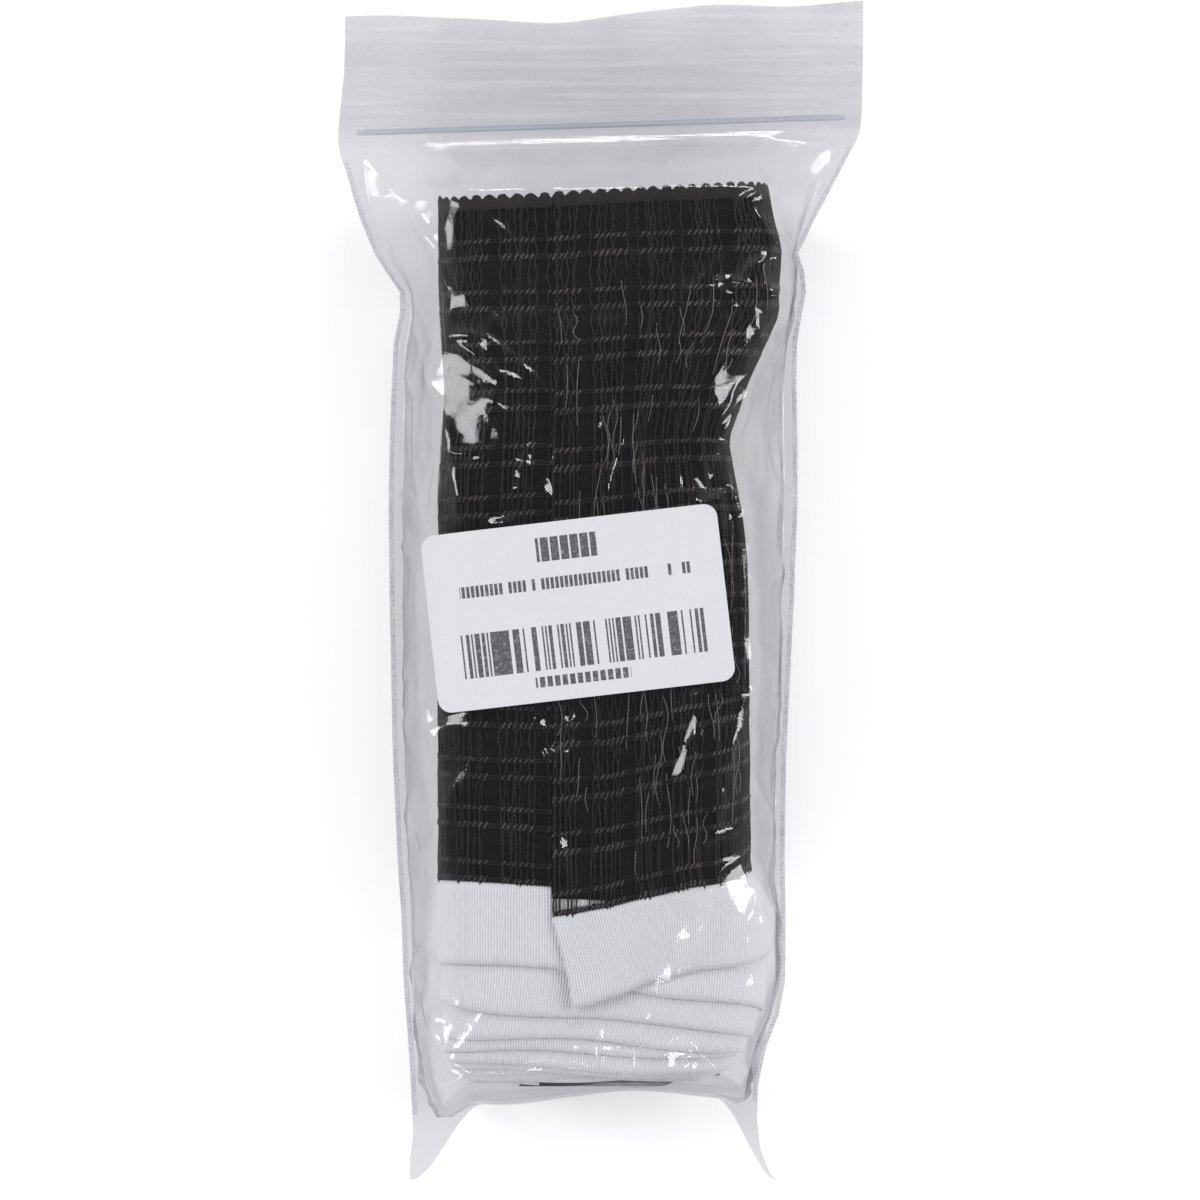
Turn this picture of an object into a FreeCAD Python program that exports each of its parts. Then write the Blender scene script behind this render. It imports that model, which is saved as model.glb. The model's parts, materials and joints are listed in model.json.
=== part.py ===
"""Table tennis net and post set, packed flat in a press-seal bag.

The net is one strip, wound eleven times round its own hardware: two post rods that lie along the long
sides of the core, and two table clamps that lie between them. Every turn sits a little further down
than the turn outside it, so the white headbands step out at the lower end of the pack. The bag is one
folded web of clear film, sealed down both sides, with a press-seal track under two loose lips.

Frame: X across the pack, Y along it towards the bag's mouth, Z up. The pack lies on its back on Z = 0.
All lengths are in millimetres.
"""

import FreeCAD, Part
import math
import os

V = FreeCAD.Vector

# ---------------------------------------------------------------- net strip
net_height = 152.5          # the regulation height of a table tennis net
headband_width = 16.5       # white woven band folded over the net's upper edge
hem_width = 2.2             # scalloped knitted edge along the other side
headband_thickness = 0.85
mesh_thickness = 0.55
hem_thickness = 0.8
turns = 11
turn_pitch = 0.95           # growth of the roll for each turn
roll_half_width = 36.5
roll_half_thickness = 19.0
roll_corner_radius = 12.5
free_end_x = -11.6          # the net's outer end lies on the front, left of centre
outer_turn_y = -74.0        # lower edge of the outermost headband
turn_drop_total = 19.0      # how far the innermost turn sits below the outermost
turn_drop_rate = 2.2        # turns over which most of that drop is made

# ---------------------------------------------------------------- bag
film = 0.15                 # one wall of the bag
net_gap = 0.3               # free space between the net and the film
bag_flat_width = 101.6      # a bag sold as four inches wide
lip_height = 21.7           # from the press-seal track to the open edge
body_half_width = 37.7      # where the two walls meet beside the pack
seal_width = 3.2            # the welded strip down each side
shoulder_y = outer_turn_y + net_height + 1.5  # the full thickness ends just above the net
track_y = shoulder_y + 12.6  # the press-seal track at the middle of the bag
foot_y = -89.0              # the full thickness ends here at the lower end
foot_end_y = -97.5          # the folded lower end of the web
foot_half_thickness = 12.0
foot_half_width = 31.0
ear_tip_y = -115.8          # the two lower corners stand out past the fold
ear_inner_x = 25.5
ear_round = 9.0
mouth_skew_deg = 1.85       # the whole mouth is turned a little in the plane of the pack
mouth_half_thickness = 0.6
mouth_shift = 0.4           # the mouth sits this far right of the middle
lip_gap = 1.2               # the track holds the two lips this far apart
lip_side_gap = 0.1
lip_start = 0.8             # the lips begin this far past the line they bend on
hinge_to_track = 4.0        # the lips bend this far below the track
rib_height = 0.85
rib_radius = 0.3            # the bead of the press-seal track
rib_stem = 0.36
groove_clearance = 0.25     # each side of the bead
groove_wall = 0.35
groove_floor = 0.12
track_end_inset = 3.0

# ---------------------------------------------------------------- label
label_length = 57.0
label_width = 34.0
label_corner = 2.6
label_thickness = 0.12
label_x = -4.3
label_y = -1.6
label_turn_deg = 6.6

# ---------------------------------------------------------------- post rods
rod_radius = 3.5
rod_length = 140.0
stud_radius = 3.0           # M6
stud_length = 10.0
rod_x = 20.3
rod_foot_y = -92.5
cap_radius = 4.0
cap_length = 9.0
cap_depth = 6.0             # how far the cap reaches over the rod's bare end
cap_slot = 1.6
nut_flats = 10.0
nut_thickness = 4.5
thread_clearance = 0.07     # radial, between a plain stud or screw and its nut

# ---------------------------------------------------------------- table clamps
strip_thickness = 2.5
strip_width = 14.0
strip_bend = 4.0            # outside radius of the strip's two bends
clamp_half_length = 15.6
jaw_opening = 24.0
hole_clearance = 0.2
screw_x = -5.5
post_hole_x = 8.0
table_pad_length = 15.0
table_pad_thickness = 1.5
table_pad_width = 12.0
screw_pitch = 1.0
thread_depth = 0.35
screw_travel = 16.0
swivel_radius = 6.3
swivel_thickness = 3.6
swivel_socket_depth = 2.4
swivel_neck_radius = 2.3
knob_radius = 7.0
knob_thickness = 9.0
knob_lobes = 6
knob_scallop_radius = 2.4
pin_clearance = 0.06
clamp_a_foot_y = -94.0      # the jaw that shows under the lowest headband
clamp_b_foot_y = 51.0

# ---------------------------------------------------------------- worked out
mid_z = roll_half_thickness + net_gap + film
roll_low_y = outer_turn_y - turn_drop_total
tube_half_thickness = roll_half_thickness + net_gap + film
tube_corner_radius = roll_corner_radius + net_gap + film
tube_flat_half = roll_half_width - roll_corner_radius
mouth_half_width = bag_flat_width / 2


def box(x0, x1, y0, y1, z0, z1):
    """A block between two corners."""
    return Part.makeBox(x1 - x0, y1 - y0, z1 - z0, V(x0, y0, z0))


def face_of(edges):
    """A flat face inside a closed run of edges."""
    return Part.Face(Part.Wire(edges))


def line(a, b):
    """A straight edge."""
    return Part.LineSegment(a, b).toShape()


def arc(a, m, b):
    """A circular edge through three points."""
    return Part.Arc(a, m, b).toShape()


def cylinder_y(radius, length, x, y, z):
    """A cylinder along Y that starts at y."""
    return Part.makeCylinder(radius, length, V(x, y, z), V(0, 1, 0))


def hexagon_y(flats, length, x, y, z):
    """A hexagonal prism along Y that starts at y."""
    reach = flats / math.sqrt(3)
    corners = [
        V(x + reach * math.cos(math.radians(60 * n)), y, z + reach * math.sin(math.radians(60 * n)))
        for n in range(7)
    ]
    return Part.Face(Part.makePolygon(corners)).extrude(V(0, length, 0))


# ---------------------------------------------------------------- the wound net

def side_distance(n):
    """How far side n of the winding lies from the roll's middle: 0 front, 1 right, 2 back, 3 left, and on."""
    reach = roll_half_thickness if n % 2 == 0 else roll_half_width
    return reach - turn_pitch * n / 4


def on_side(n, along, inset):
    """A point on side n, at a signed distance along it, set in by inset from its outer surface."""
    out = side_distance(n) - inset
    x, z = {0: (along, out), 1: (out, -along), 2: (-along, -out), 3: (-out, along)}[n % 4]
    return V(x, 0, mid_z + z)


def corner_radius(n):
    """Outside radius of the corner between side n and side n + 1."""
    return roll_corner_radius - turn_pitch * n / 4


def turn_path(turn, inset):
    """The edges of one full turn, from the front round the right, back and left to the front again."""
    edges = []
    here = on_side(4 * turn, free_end_x, inset)
    for n in range(4 * turn, 4 * turn + 4):
        radius = corner_radius(n)
        bend_start = on_side(n, side_distance(n + 1) - radius, inset)
        bend_end = on_side(n + 1, -(side_distance(n) - radius), inset)
        centre = on_side(n, side_distance(n + 1) - radius, radius)
        outward = (bend_start + bend_end) * 0.5 - centre
        outward.normalize()
        edges.append(line(here, bend_start))
        edges.append(arc(bend_start, centre + outward * (radius - inset), bend_end))
        here = bend_end
    edges.append(line(here, on_side(4 * turn + 4, free_end_x, inset)))
    return edges


def strip_y(progress):
    """Lower edge of the headband after so many turns: each turn drops less than the one outside it."""
    return outer_turn_y - turn_drop_total * (1 - math.exp(-progress / turn_drop_rate))


def wound_strip(low, high, thickness):
    """The part of the wound net between two heights of the strip, as one solid.

    Each flat or bend of the winding is its own slab, a little further down than the last.
    """
    outer_inset = (headband_thickness - thickness) / 2
    slabs = []
    for turn in range(turns):
        outer, inner = turn_path(turn, outer_inset), turn_path(turn, outer_inset + thickness)
        for n, (out_edge, in_edge) in enumerate(zip(outer, inner)):
            ends = [line(in_edge.valueAt(edge_end(in_edge, last)), out_edge.valueAt(edge_end(out_edge, last)))
                    for last in (False, True)]
            section = Part.Face(Part.Wire([out_edge, ends[1], in_edge, ends[0]]))
            section.translate(V(0, strip_y(turn + n / len(outer)) + low, 0))
            slabs.append(section.extrude(V(0, high - low, 0)))
    return slabs[0].multiFuse(slabs[1:]).removeSplitter()


def edge_end(edge, last):
    """The parameter at an edge's first or last point."""
    return edge.LastParameter if last else edge.FirstParameter


def net_length():
    """Length of the strip along its outer face."""
    return sum(edge.Length for turn in range(turns) for edge in turn_path(turn, 0))


# ---------------------------------------------------------------- the bag

def tangent_offset(px, pz, cx, cz, radius):
    """Where a line from (px, pz) touches a circle, on the side away from the middle."""
    dx, dz = cx - px, cz - pz
    distance = math.hypot(dx, dz)
    reach = math.sqrt(distance ** 2 - radius ** 2)
    angle = math.atan2(dz, dx) - math.asin(radius / distance)
    return px + reach * math.cos(angle), pz + reach * math.sin(angle)


def half_section(y, half_width, half_thickness, radius, flat_half, inset, side):
    """Closed half of the bag's cross-section: a flat front, two round corners and straight walls to the seals.

    side is +1 for the front half and -1 for the back half.
    """
    width, height, bend = half_width - inset, half_thickness - inset, radius - inset
    centre_x, centre_z = flat_half, half_thickness - radius
    touch_x, touch_z = tangent_offset(width, 0, centre_x, centre_z, bend)
    middle = math.radians(90) + math.atan2(touch_z - centre_z, touch_x - centre_x)
    middle_x = centre_x + bend * math.cos(middle / 2)
    middle_z = centre_z + bend * math.sin(middle / 2)

    def at(x, z):
        return V(x, y, mid_z + side * z)

    return Part.Wire([
        line(at(-width, 0), at(-touch_x, touch_z)),
        arc(at(-touch_x, touch_z), at(-middle_x, middle_z), at(-centre_x, height)),
        line(at(-centre_x, height), at(centre_x, height)),
        arc(at(centre_x, height), at(middle_x, middle_z), at(touch_x, touch_z)),
        line(at(touch_x, touch_z), at(width, 0)),
        line(at(width, 0), at(-width, 0)),
    ])


def half_bag(inset, side):
    """Half of the bag as a filled solid: foot, straight tube and shoulder, set in by inset."""
    tube = (tube_half_thickness, tube_corner_radius, tube_flat_half)
    foot = half_section(foot_end_y + inset, foot_half_width, foot_half_thickness, 6.0, 24.0, inset, side)
    low = half_section(foot_y, body_half_width, *tube, inset, side)
    high = half_section(shoulder_y, body_half_width, *tube, inset, side)
    filled = Part.makeLoft([foot, low], True, True)
    filled = filled.fuse(Part.makeLoft([low, high], True, True))
    return filled.fuse(shoulder(high, inset, side))


def mouth_y(x):
    """The hinge line of the lips at a distance x across the bag."""
    return track_y - hinge_to_track + x * math.tan(math.radians(mouth_skew_deg))


def shoulder(high, inset, side):
    """The wall that runs from the full thickness in to the flat mouth."""
    reach = mouth_half_width - seal_width - inset
    height = mouth_half_thickness - inset
    xs = [-reach, -reach * 0.9, -reach * 0.45, reach * 0.45, reach * 0.9, reach]
    top = [V(x, mouth_y(x), mid_z + side * (0 if abs(x) == reach else height)) for x in xs]
    rim = Part.Wire([line(a, b) for a, b in zip(top, top[1:] + top[:1])])
    return Part.makeLoft([high, rim], True, True)


def wall(side):
    """One wall of the bag: a thin shell, open on the side where it meets the other wall."""
    outer = half_bag(0, side)
    inner = half_bag(film, side)
    shell = outer.cut(inner)
    keep = box(-mouth_half_width, mouth_half_width, foot_end_y - 1, track_y + 5, 0, 2 * mid_z)
    return shell.common(keep)


def seal_outline(side):
    """One seal with its lower corner, in the plane where the two walls meet: side is +1 right, -1 left."""
    def at(x, y):
        return V(side * x, y, mid_z - film)

    inner_top_x, outer_low_x = mouth_half_width - seal_width, body_half_width + seal_width - 2.5
    inner_top = at(inner_top_x, mouth_y(side * inner_top_x))
    outer_top = at(mouth_half_width, mouth_y(side * mouth_half_width))
    outer_shoulder = at(body_half_width + seal_width, shoulder_y - 18)
    inner_shoulder = at(body_half_width, shoulder_y)
    outer_low, inner_low = at(outer_low_x, foot_y), at(body_half_width, foot_y)
    tip, fold = at(body_half_width, ear_tip_y), at(ear_inner_x, foot_end_y)
    return face_of([
        line(inner_top, outer_top),
        line(outer_top, outer_shoulder),
        line(outer_shoulder, outer_low),
        arc(outer_low, at(outer_low_x - 0.6, (foot_y + ear_tip_y) / 2), tip),
        arc(tip, at(ear_inner_x + ear_round * 0.55, foot_end_y - ear_round * 0.9), fold),
        line(fold, at(foot_half_width, foot_end_y)),
        line(at(foot_half_width, foot_end_y), inner_low),
        line(inner_low, inner_shoulder),
        line(inner_shoulder, inner_top),
    ])


def side_seal(side):
    """One welded side seam with its corner ear: both walls of film, pressed into one strip."""
    return seal_outline(side).extrude(V(0, 0, 2 * film))


def in_mouth(shape):
    """Turns a shape that was made square to the pack with the mouth, about the middle of the hinge line."""
    shape.rotate(V(0, track_y - hinge_to_track, mid_z), V(0, 0, 1), mouth_skew_deg)
    shape.translate(V(mouth_shift, 0, 0))
    return shape


def lip(side):
    """One loose lip of the bag, from just past the line where it bends to the open edge."""
    y0, y1 = track_y - hinge_to_track + lip_start, track_y + lip_height
    z0 = mid_z + (lip_gap / 2 if side > 0 else -lip_gap / 2 - film)
    reach = mouth_half_width - lip_side_gap
    return in_mouth(box(-reach, reach, y0, y1, z0, z0 + film))


def track_rib():
    """The bead under the front lip: a stem with a round edge that lies in the groove."""
    reach = mouth_half_width - track_end_inset
    z = mid_z + lip_gap / 2
    foot = z - rib_height + rib_radius
    stem = box(-reach, reach, track_y - rib_stem / 2, track_y + rib_stem / 2, foot, z)
    bead = Part.makeCylinder(rib_radius, 2 * reach, V(-reach, track_y, foot), V(1, 0, 0))
    return in_mouth(stem.fuse(bead).removeSplitter())


def track_groove():
    """The pair of ridges on the back lip that the bead lies between."""
    reach = mouth_half_width - track_end_inset
    z = mid_z - lip_gap / 2
    near = rib_radius + groove_clearance
    base = box(-reach, reach, track_y - near - groove_wall, track_y + near + groove_wall, z, z + groove_floor)
    ridges = [
        box(-reach, reach, track_y + y, track_y + y + groove_wall, z, z + rib_height)
        for y in (-near - groove_wall, near)
    ]
    return in_mouth(base.multiFuse(ridges).removeSplitter())


def label():
    """The paper label: a rounded rectangle that follows the front wall."""
    half_l, half_w = label_length / 2, label_width / 2
    blank = box(-half_l, half_l, -half_w, half_w, mid_z, 2 * mid_z + 2)
    upright = [e for e in blank.Edges if abs(e.tangentAt(e.FirstParameter).z) > 0.99]
    blank = blank.makeFillet(label_corner, upright)
    blank.rotate(V(0, 0, 0), V(0, 0, 1), label_turn_deg)
    blank.translate(V(label_x, label_y, 0))
    y0, y1 = label_y - label_length / 2, label_y + label_length / 2
    tube = (tube_half_thickness, tube_corner_radius, tube_flat_half)

    def filled(inset):
        ends = [half_section(y, body_half_width, *tube, inset, 1) for y in (y0, y1)]
        return Part.makeLoft(ends, True, True)

    return filled(-label_thickness).cut(filled(0)).common(blank)


# ---------------------------------------------------------------- the post rods

def rod(side):
    """A post rod along Y: a plain bar with a threaded stud. The left one's stud points up the pack."""
    x = side * rod_x
    low = rod_foot_y + (cap_length - cap_depth if side < 0 else stud_length)
    bar = cylinder_y(rod_radius, rod_length, x, low, mid_z)
    stud_y = low + rod_length if side < 0 else low - stud_length
    return bar.fuse(cylinder_y(stud_radius, stud_length, x, stud_y, mid_z)).removeSplitter()


def rod_cap(side):
    """The plastic cap on a rod's free end, with a slot for the net's upper edge."""
    x = side * rod_x
    bare_y = rod_foot_y + cap_length - cap_depth if side < 0 else rod_foot_y + stud_length + rod_length
    out = -1 if side < 0 else 1
    y0 = min(bare_y - out * cap_depth, bare_y + out * (cap_length - cap_depth))
    shell = cylinder_y(cap_radius, cap_length, x, y0, mid_z)
    edge_y = y0 if out < 0 else y0 + cap_length
    rim = [e for e in shell.Edges if abs(e.BoundBox.YMin - edge_y) < 1e-6 and abs(e.BoundBox.YMax - edge_y) < 1e-6]
    shell = shell.makeFillet(1.2, rim)
    shell = shell.cut(cylinder_y(rod_radius, rod_length, x, bare_y if out < 0 else bare_y - rod_length, mid_z))
    depth = cap_length - cap_depth - 1.0
    slot_y = edge_y if out < 0 else edge_y - depth
    return shell.cut(box(x - cap_slot / 2, x + cap_slot / 2, slot_y, slot_y + depth,
                         mid_z - cap_radius, mid_z + cap_radius))


def rod_nut(side):
    """The hexagon nut that holds a rod to its clamp, run onto the stud for packing."""
    x = side * rod_x
    shoulder_at = rod_foot_y + cap_length - cap_depth + rod_length if side < 0 else rod_foot_y + stud_length
    y0 = shoulder_at + 2.0 if side < 0 else shoulder_at - 2.0 - nut_thickness
    flats = 2 * cap_radius
    nut = hexagon_y(flats, nut_thickness, x, y0, mid_z)
    return nut.cut(cylinder_y(stud_radius + thread_clearance, nut_thickness, x, y0, mid_z))


# ---------------------------------------------------------------- the clamps, made at Y = 0 with the jaw down

def clamp_frame():
    """The bent strip: post jaw, back and screw jaw, with the post's hole and the screw's hole."""
    height = jaw_opening + 2 * strip_thickness
    low, high = mid_z - strip_width / 2, mid_z + strip_width / 2
    right = clamp_half_length
    body = box(-right, right, 0, height, low, high)
    outer_edges = [
        e for e in body.Edges
        if abs(e.tangentAt(e.FirstParameter).z) > 0.99 and e.BoundBox.XMin > right - 0.01
    ]
    body = body.makeFillet(strip_bend, outer_edges)
    gap = box(-right - 1, right - strip_thickness, strip_thickness, height - strip_thickness, low, high)
    inner_edges = [
        e for e in gap.Edges
        if abs(e.tangentAt(e.FirstParameter).z) > 0.99 and e.BoundBox.XMin > 0
    ]
    body = body.cut(gap.makeFillet(strip_bend - strip_thickness, inner_edges))
    radius = stud_radius + hole_clearance
    body = body.cut(cylinder_y(radius, strip_thickness, post_hole_x, 0, mid_z))
    return body.cut(cylinder_y(radius, strip_thickness, screw_x, height - strip_thickness, mid_z))


def table_pad():
    """The rubber pad that keeps the jaw off the table's surface."""
    x0 = -clamp_half_length + 0.8
    y0 = strip_thickness
    half = table_pad_width / 2
    pad = box(x0, x0 + table_pad_length, y0, y0 + table_pad_thickness, mid_z - half, mid_z + half)
    return pad.makeFillet(0.5, [e for e in pad.Edges if e.BoundBox.YMin > y0 + table_pad_thickness - 0.01])


def screw_nut():
    """The hexagon nut welded to the outside of the screw jaw."""
    y0 = jaw_opening + 2 * strip_thickness
    nut = hexagon_y(nut_flats, nut_thickness, screw_x, y0, mid_z)
    return nut.cut(cylinder_y(stud_radius + thread_clearance, nut_thickness, screw_x, y0, mid_z))


def swivel_y():
    """The table side of the swivel pad when the screw is backed right off."""
    return strip_thickness + jaw_opening - swivel_thickness - 0.8


def swivel_pad():
    """The round pad on the screw's tip, with a socket for the tip."""
    y0 = swivel_y()
    disc = cylinder_y(swivel_radius, swivel_thickness, screw_x, y0, mid_z)
    disc = disc.makeFillet(0.6, [e for e in disc.Edges if e.BoundBox.YMax < y0 + 0.01])
    depth = swivel_socket_depth
    return disc.cut(cylinder_y(swivel_neck_radius + pin_clearance, depth, screw_x,
                               y0 + swivel_thickness - depth, mid_z))


def screw_length():
    """Thread from the swivel pad's face, through jaw and nut, to the knob, with the full travel."""
    return 0.8 + strip_thickness + nut_thickness + screw_travel + 1.0


def clamp_screw():
    """The clamp screw: a plain tip, a ridged thread and a plain end inside the knob."""
    y0 = swivel_y() + swivel_thickness
    tip_y = y0 - swivel_socket_depth + pin_clearance
    count = int(screw_length() / screw_pitch)
    root = stud_radius - thread_depth
    outline = [V(0, tip_y, 0), V(swivel_neck_radius, tip_y, 0), V(swivel_neck_radius, y0 + 0.1, 0),
               V(root, y0 + 0.1, 0)]
    for n in range(count):
        start = y0 + 0.3 + n * screw_pitch
        outline += [V(root, start, 0), V(stud_radius, start + screw_pitch * 0.4, 0),
                    V(stud_radius, start + screw_pitch * 0.6, 0), V(root, start + screw_pitch, 0)]
    end = y0 + 0.3 + count * screw_pitch
    shank = knob_thickness - 2.0
    outline += [V(root, end + shank, 0), V(0, end + shank, 0)]
    tidy = [p for n, p in enumerate(outline) if n == 0 or p.distanceToPoint(outline[n - 1]) > 1e-6]
    screw = Part.Face(Part.makePolygon(tidy + tidy[:1])).revolve(V(0, 0, 0), V(0, 1, 0), 360)
    screw.translate(V(screw_x, 0, mid_z))
    return screw


def knob():
    """The moulded hand knob: a scalloped disc on the end of the screw."""
    end = swivel_y() + swivel_thickness + 0.3 + int(screw_length() / screw_pitch) * screw_pitch
    body = cylinder_y(knob_radius, knob_thickness, screw_x, end, mid_z)
    body = body.makeFillet(1.4, [e for e in body.Edges if e.BoundBox.YMin > end + knob_thickness - 0.01])
    for n in range(knob_lobes):
        angle = 2 * math.pi * (n + 0.5) / knob_lobes
        away = knob_radius + knob_scallop_radius * 0.55
        x, z = screw_x + away * math.cos(angle), mid_z + away * math.sin(angle)
        body = body.cut(cylinder_y(knob_scallop_radius, knob_thickness, x, end, z))
    bore = cylinder_y(stud_radius - thread_depth, knob_thickness - 2.0, screw_x, end, mid_z)
    return body.cut(bore)


def place_a(shape):
    """Clamp A lies with its post jaw at the pack's lower end."""
    shape.translate(V(0, clamp_a_foot_y, 0))
    return shape


def place_b(shape):
    """Clamp B lies the other way up, with its post jaw towards the bag's mouth."""
    shape.rotate(V(0, 0, mid_z), V(0, 0, 1), 180)
    shape.translate(V(0, clamp_b_foot_y, 0))
    return shape


# ---------------------------------------------------------------- every piece by name

def build():
    """All the pieces as a dictionary of node name to shape."""
    mesh_low, mesh_high = headband_width, net_height - hem_width
    parts = {
        "net_mesh": wound_strip(mesh_low, mesh_high, mesh_thickness),
        "net_headband": wound_strip(0, headband_width, headband_thickness),
        "net_scalloped_hem": wound_strip(mesh_high, net_height, hem_thickness),
        "bag_front_wall": wall(1),
        "bag_back_wall": wall(-1),
        "bag_right_seal": side_seal(1),
        "bag_left_seal": side_seal(-1),
        "bag_front_lip": lip(1),
        "bag_back_lip": lip(-1),
        "seal_track_rib": track_rib(),
        "seal_track_groove": track_groove(),
        "label": label(),
    }
    for name, side in (("left", -1), ("right", 1)):
        parts[f"post_rod_{name}"] = rod(side)
        parts[f"post_cap_{name}"] = rod_cap(side)
        parts[f"post_nut_{name}"] = rod_nut(side)
    for name, place in (("a", place_a), ("b", place_b)):
        parts[f"clamp_{name}_frame"] = place(clamp_frame())
        parts[f"clamp_{name}_table_pad"] = place(table_pad())
        parts[f"clamp_{name}_weld_nut"] = place(screw_nut())
        parts[f"clamp_{name}_swivel_pad"] = place(swivel_pad())
        parts[f"clamp_{name}_screw"] = place(clamp_screw())
        parts[f"clamp_{name}_knob"] = place(knob())
    return parts


os.makedirs("parts", exist_ok=True)
for node, shape in build().items():
    shape.exportStep(f"parts/{node}.step")
    print(node, "valid" if shape.isValid() else "NOT VALID", len(shape.Solids), "solid(s)",
          round(shape.Volume, 1), "mm3")
print("net length", round(net_length(), 1), "mm")
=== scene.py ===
"""A table tennis net wound flat round its posts and clamps, in a clear press-seal bag with a paper label."""

import json
import logging
import math
from dataclasses import dataclass, field
from enum import Enum
from typing import Sequence

import bpy
import numpy as np
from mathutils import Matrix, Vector

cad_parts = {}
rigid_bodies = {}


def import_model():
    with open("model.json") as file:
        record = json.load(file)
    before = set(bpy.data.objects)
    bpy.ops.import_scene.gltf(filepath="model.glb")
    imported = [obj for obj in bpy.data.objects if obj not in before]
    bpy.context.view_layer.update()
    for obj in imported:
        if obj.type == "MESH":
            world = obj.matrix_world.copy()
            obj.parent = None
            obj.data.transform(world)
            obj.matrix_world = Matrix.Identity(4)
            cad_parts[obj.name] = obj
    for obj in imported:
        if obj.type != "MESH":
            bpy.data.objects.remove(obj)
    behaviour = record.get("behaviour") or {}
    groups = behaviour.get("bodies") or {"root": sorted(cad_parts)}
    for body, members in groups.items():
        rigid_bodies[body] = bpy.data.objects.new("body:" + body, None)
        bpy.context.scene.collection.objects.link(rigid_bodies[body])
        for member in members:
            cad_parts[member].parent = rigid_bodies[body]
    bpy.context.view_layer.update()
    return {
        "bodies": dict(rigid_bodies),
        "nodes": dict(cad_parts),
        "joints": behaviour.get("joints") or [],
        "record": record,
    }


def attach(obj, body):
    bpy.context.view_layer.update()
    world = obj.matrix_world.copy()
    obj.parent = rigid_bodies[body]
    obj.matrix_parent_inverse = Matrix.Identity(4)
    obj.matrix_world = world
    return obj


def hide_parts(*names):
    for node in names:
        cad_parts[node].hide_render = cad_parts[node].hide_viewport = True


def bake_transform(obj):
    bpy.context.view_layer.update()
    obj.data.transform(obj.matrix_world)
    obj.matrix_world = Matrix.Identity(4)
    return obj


LOG = logging.getLogger("net_pack")
MM = 0.001
MID_Z = 19.45  # height of the pack's middle plane; shapes are in millimetres
LABEL_X, LABEL_Y, LABEL_TURN = -4.3, -1.6, math.radians(6.6)
NET_HEIGHT = 152.5
BAND = 16.5  # width of the headband tape
FOOT_Y, MOUTH_Y = -97.6, 114.4  # the lower weld between the ears, and the lips' open edge
Grid = np.ndarray
Colour = tuple[float, float, float, float]


class Face(Enum):
    """Which wall of the bag a piece belongs to."""

    FRONT = 1
    BACK = -1


class Body(Enum):
    """The rigid bodies that pieces ride on."""

    PACK = "pack"
    FRONT_LIP = "front_lip"
    BACK_LIP = "back_lip"


# ------------------------------------------------------------------ numbers and curves


def smoothstep(low: float, high: float, x: Grid) -> Grid:
    """Zero at low, one at high, and 3t^2 - 2t^3 between."""
    t = np.clip((np.asarray(x, float) - low) / (high - low), 0.0, 1.0)
    return t * t * (3.0 - 2.0 * t)


def bump(x: Grid, centre: float, width: float) -> Grid:
    """A bell: exp of minus the squared distance from centre over width."""
    return np.exp(-(((np.asarray(x, float) - centre) / width) ** 2))


def resample(points: Grid, count: int) -> Grid:
    """Spaces points evenly along each polyline.

    Each row of points is one polyline. Its running length is worked out by summing its chords, and new points
    are read off at equal steps of that length.

    Args:
        points: rows x samples x dimensions.
        count: points wanted on each row.

    Returns:
        rows x count x dimensions.
    """
    steps = np.linalg.norm(np.diff(points, axis=1), axis=2)
    length = np.concatenate([np.zeros((len(points), 1)), np.cumsum(steps, axis=1)], axis=1)
    wanted = np.linspace(0.0, 1.0, count)[None, :] * length[:, -1:]
    after = (length[:, None, :] <= wanted[:, :, None]).sum(axis=2).clip(1, points.shape[1] - 1)
    rows = np.arange(len(points))[:, None]
    low, high = length[rows, after - 1], length[rows, after]
    share = ((wanted - low) / np.maximum(high - low, 1e-9))[..., None]
    return points[rows, after - 1] * (1.0 - share) + points[rows, after] * share


def lattice_noise(x: Grid, y: Grid, seed: int) -> Grid:
    """Smooth random heights from 0 to 1: a value at each corner of a unit lattice, joined by smoothsteps."""
    cells = 97
    table = np.random.default_rng(seed).uniform(0.0, 1.0, (cells, cells))
    ix, iy = np.floor(x).astype(int), np.floor(y).astype(int)
    u, v = smoothstep(0.0, 1.0, x - ix), smoothstep(0.0, 1.0, y - iy)
    corner = [[table[(ix + i) % cells, (iy + j) % cells] for j in (0, 1)] for i in (0, 1)]
    low = corner[0][0] * (1.0 - u) + corner[1][0] * u
    high = corner[0][1] * (1.0 - u) + corner[1][1] * u
    return low * (1.0 - v) + high * v


def wrinkles(x: Grid, y: Grid, seed: int, size: float, stretch: float, angle: float) -> Grid:
    """Curved folds that meet and part like those of a crumpled sheet.

    The crests follow the lines where a noise crosses its middle value. The noise's own coordinates are bent
    by a second noise, which makes the crests wander.

    Args:
        x, y: points of the plane, in millimetres.
        seed: seed of both noises.
        size: distance between folds.
        stretch: how much longer than wide the folds are.
        angle: direction of their length, in degrees from X.

    Returns:
        Heights from 0 to 1.
    """
    turn = math.radians(angle)
    along = (x * math.cos(turn) + y * math.sin(turn)) / (size * stretch)
    across = (y * math.cos(turn) - x * math.sin(turn)) / size
    bend = lattice_noise(along * 1.3 + 7.0, across * 0.8, seed + 1) - 0.5
    wave = lattice_noise(along + bend * 0.9, across + bend * 1.6, seed)
    return np.clip(1.0 - np.abs(2.0 * wave - 1.0) * 1.25, 0.0, 1.0) ** 2


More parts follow.
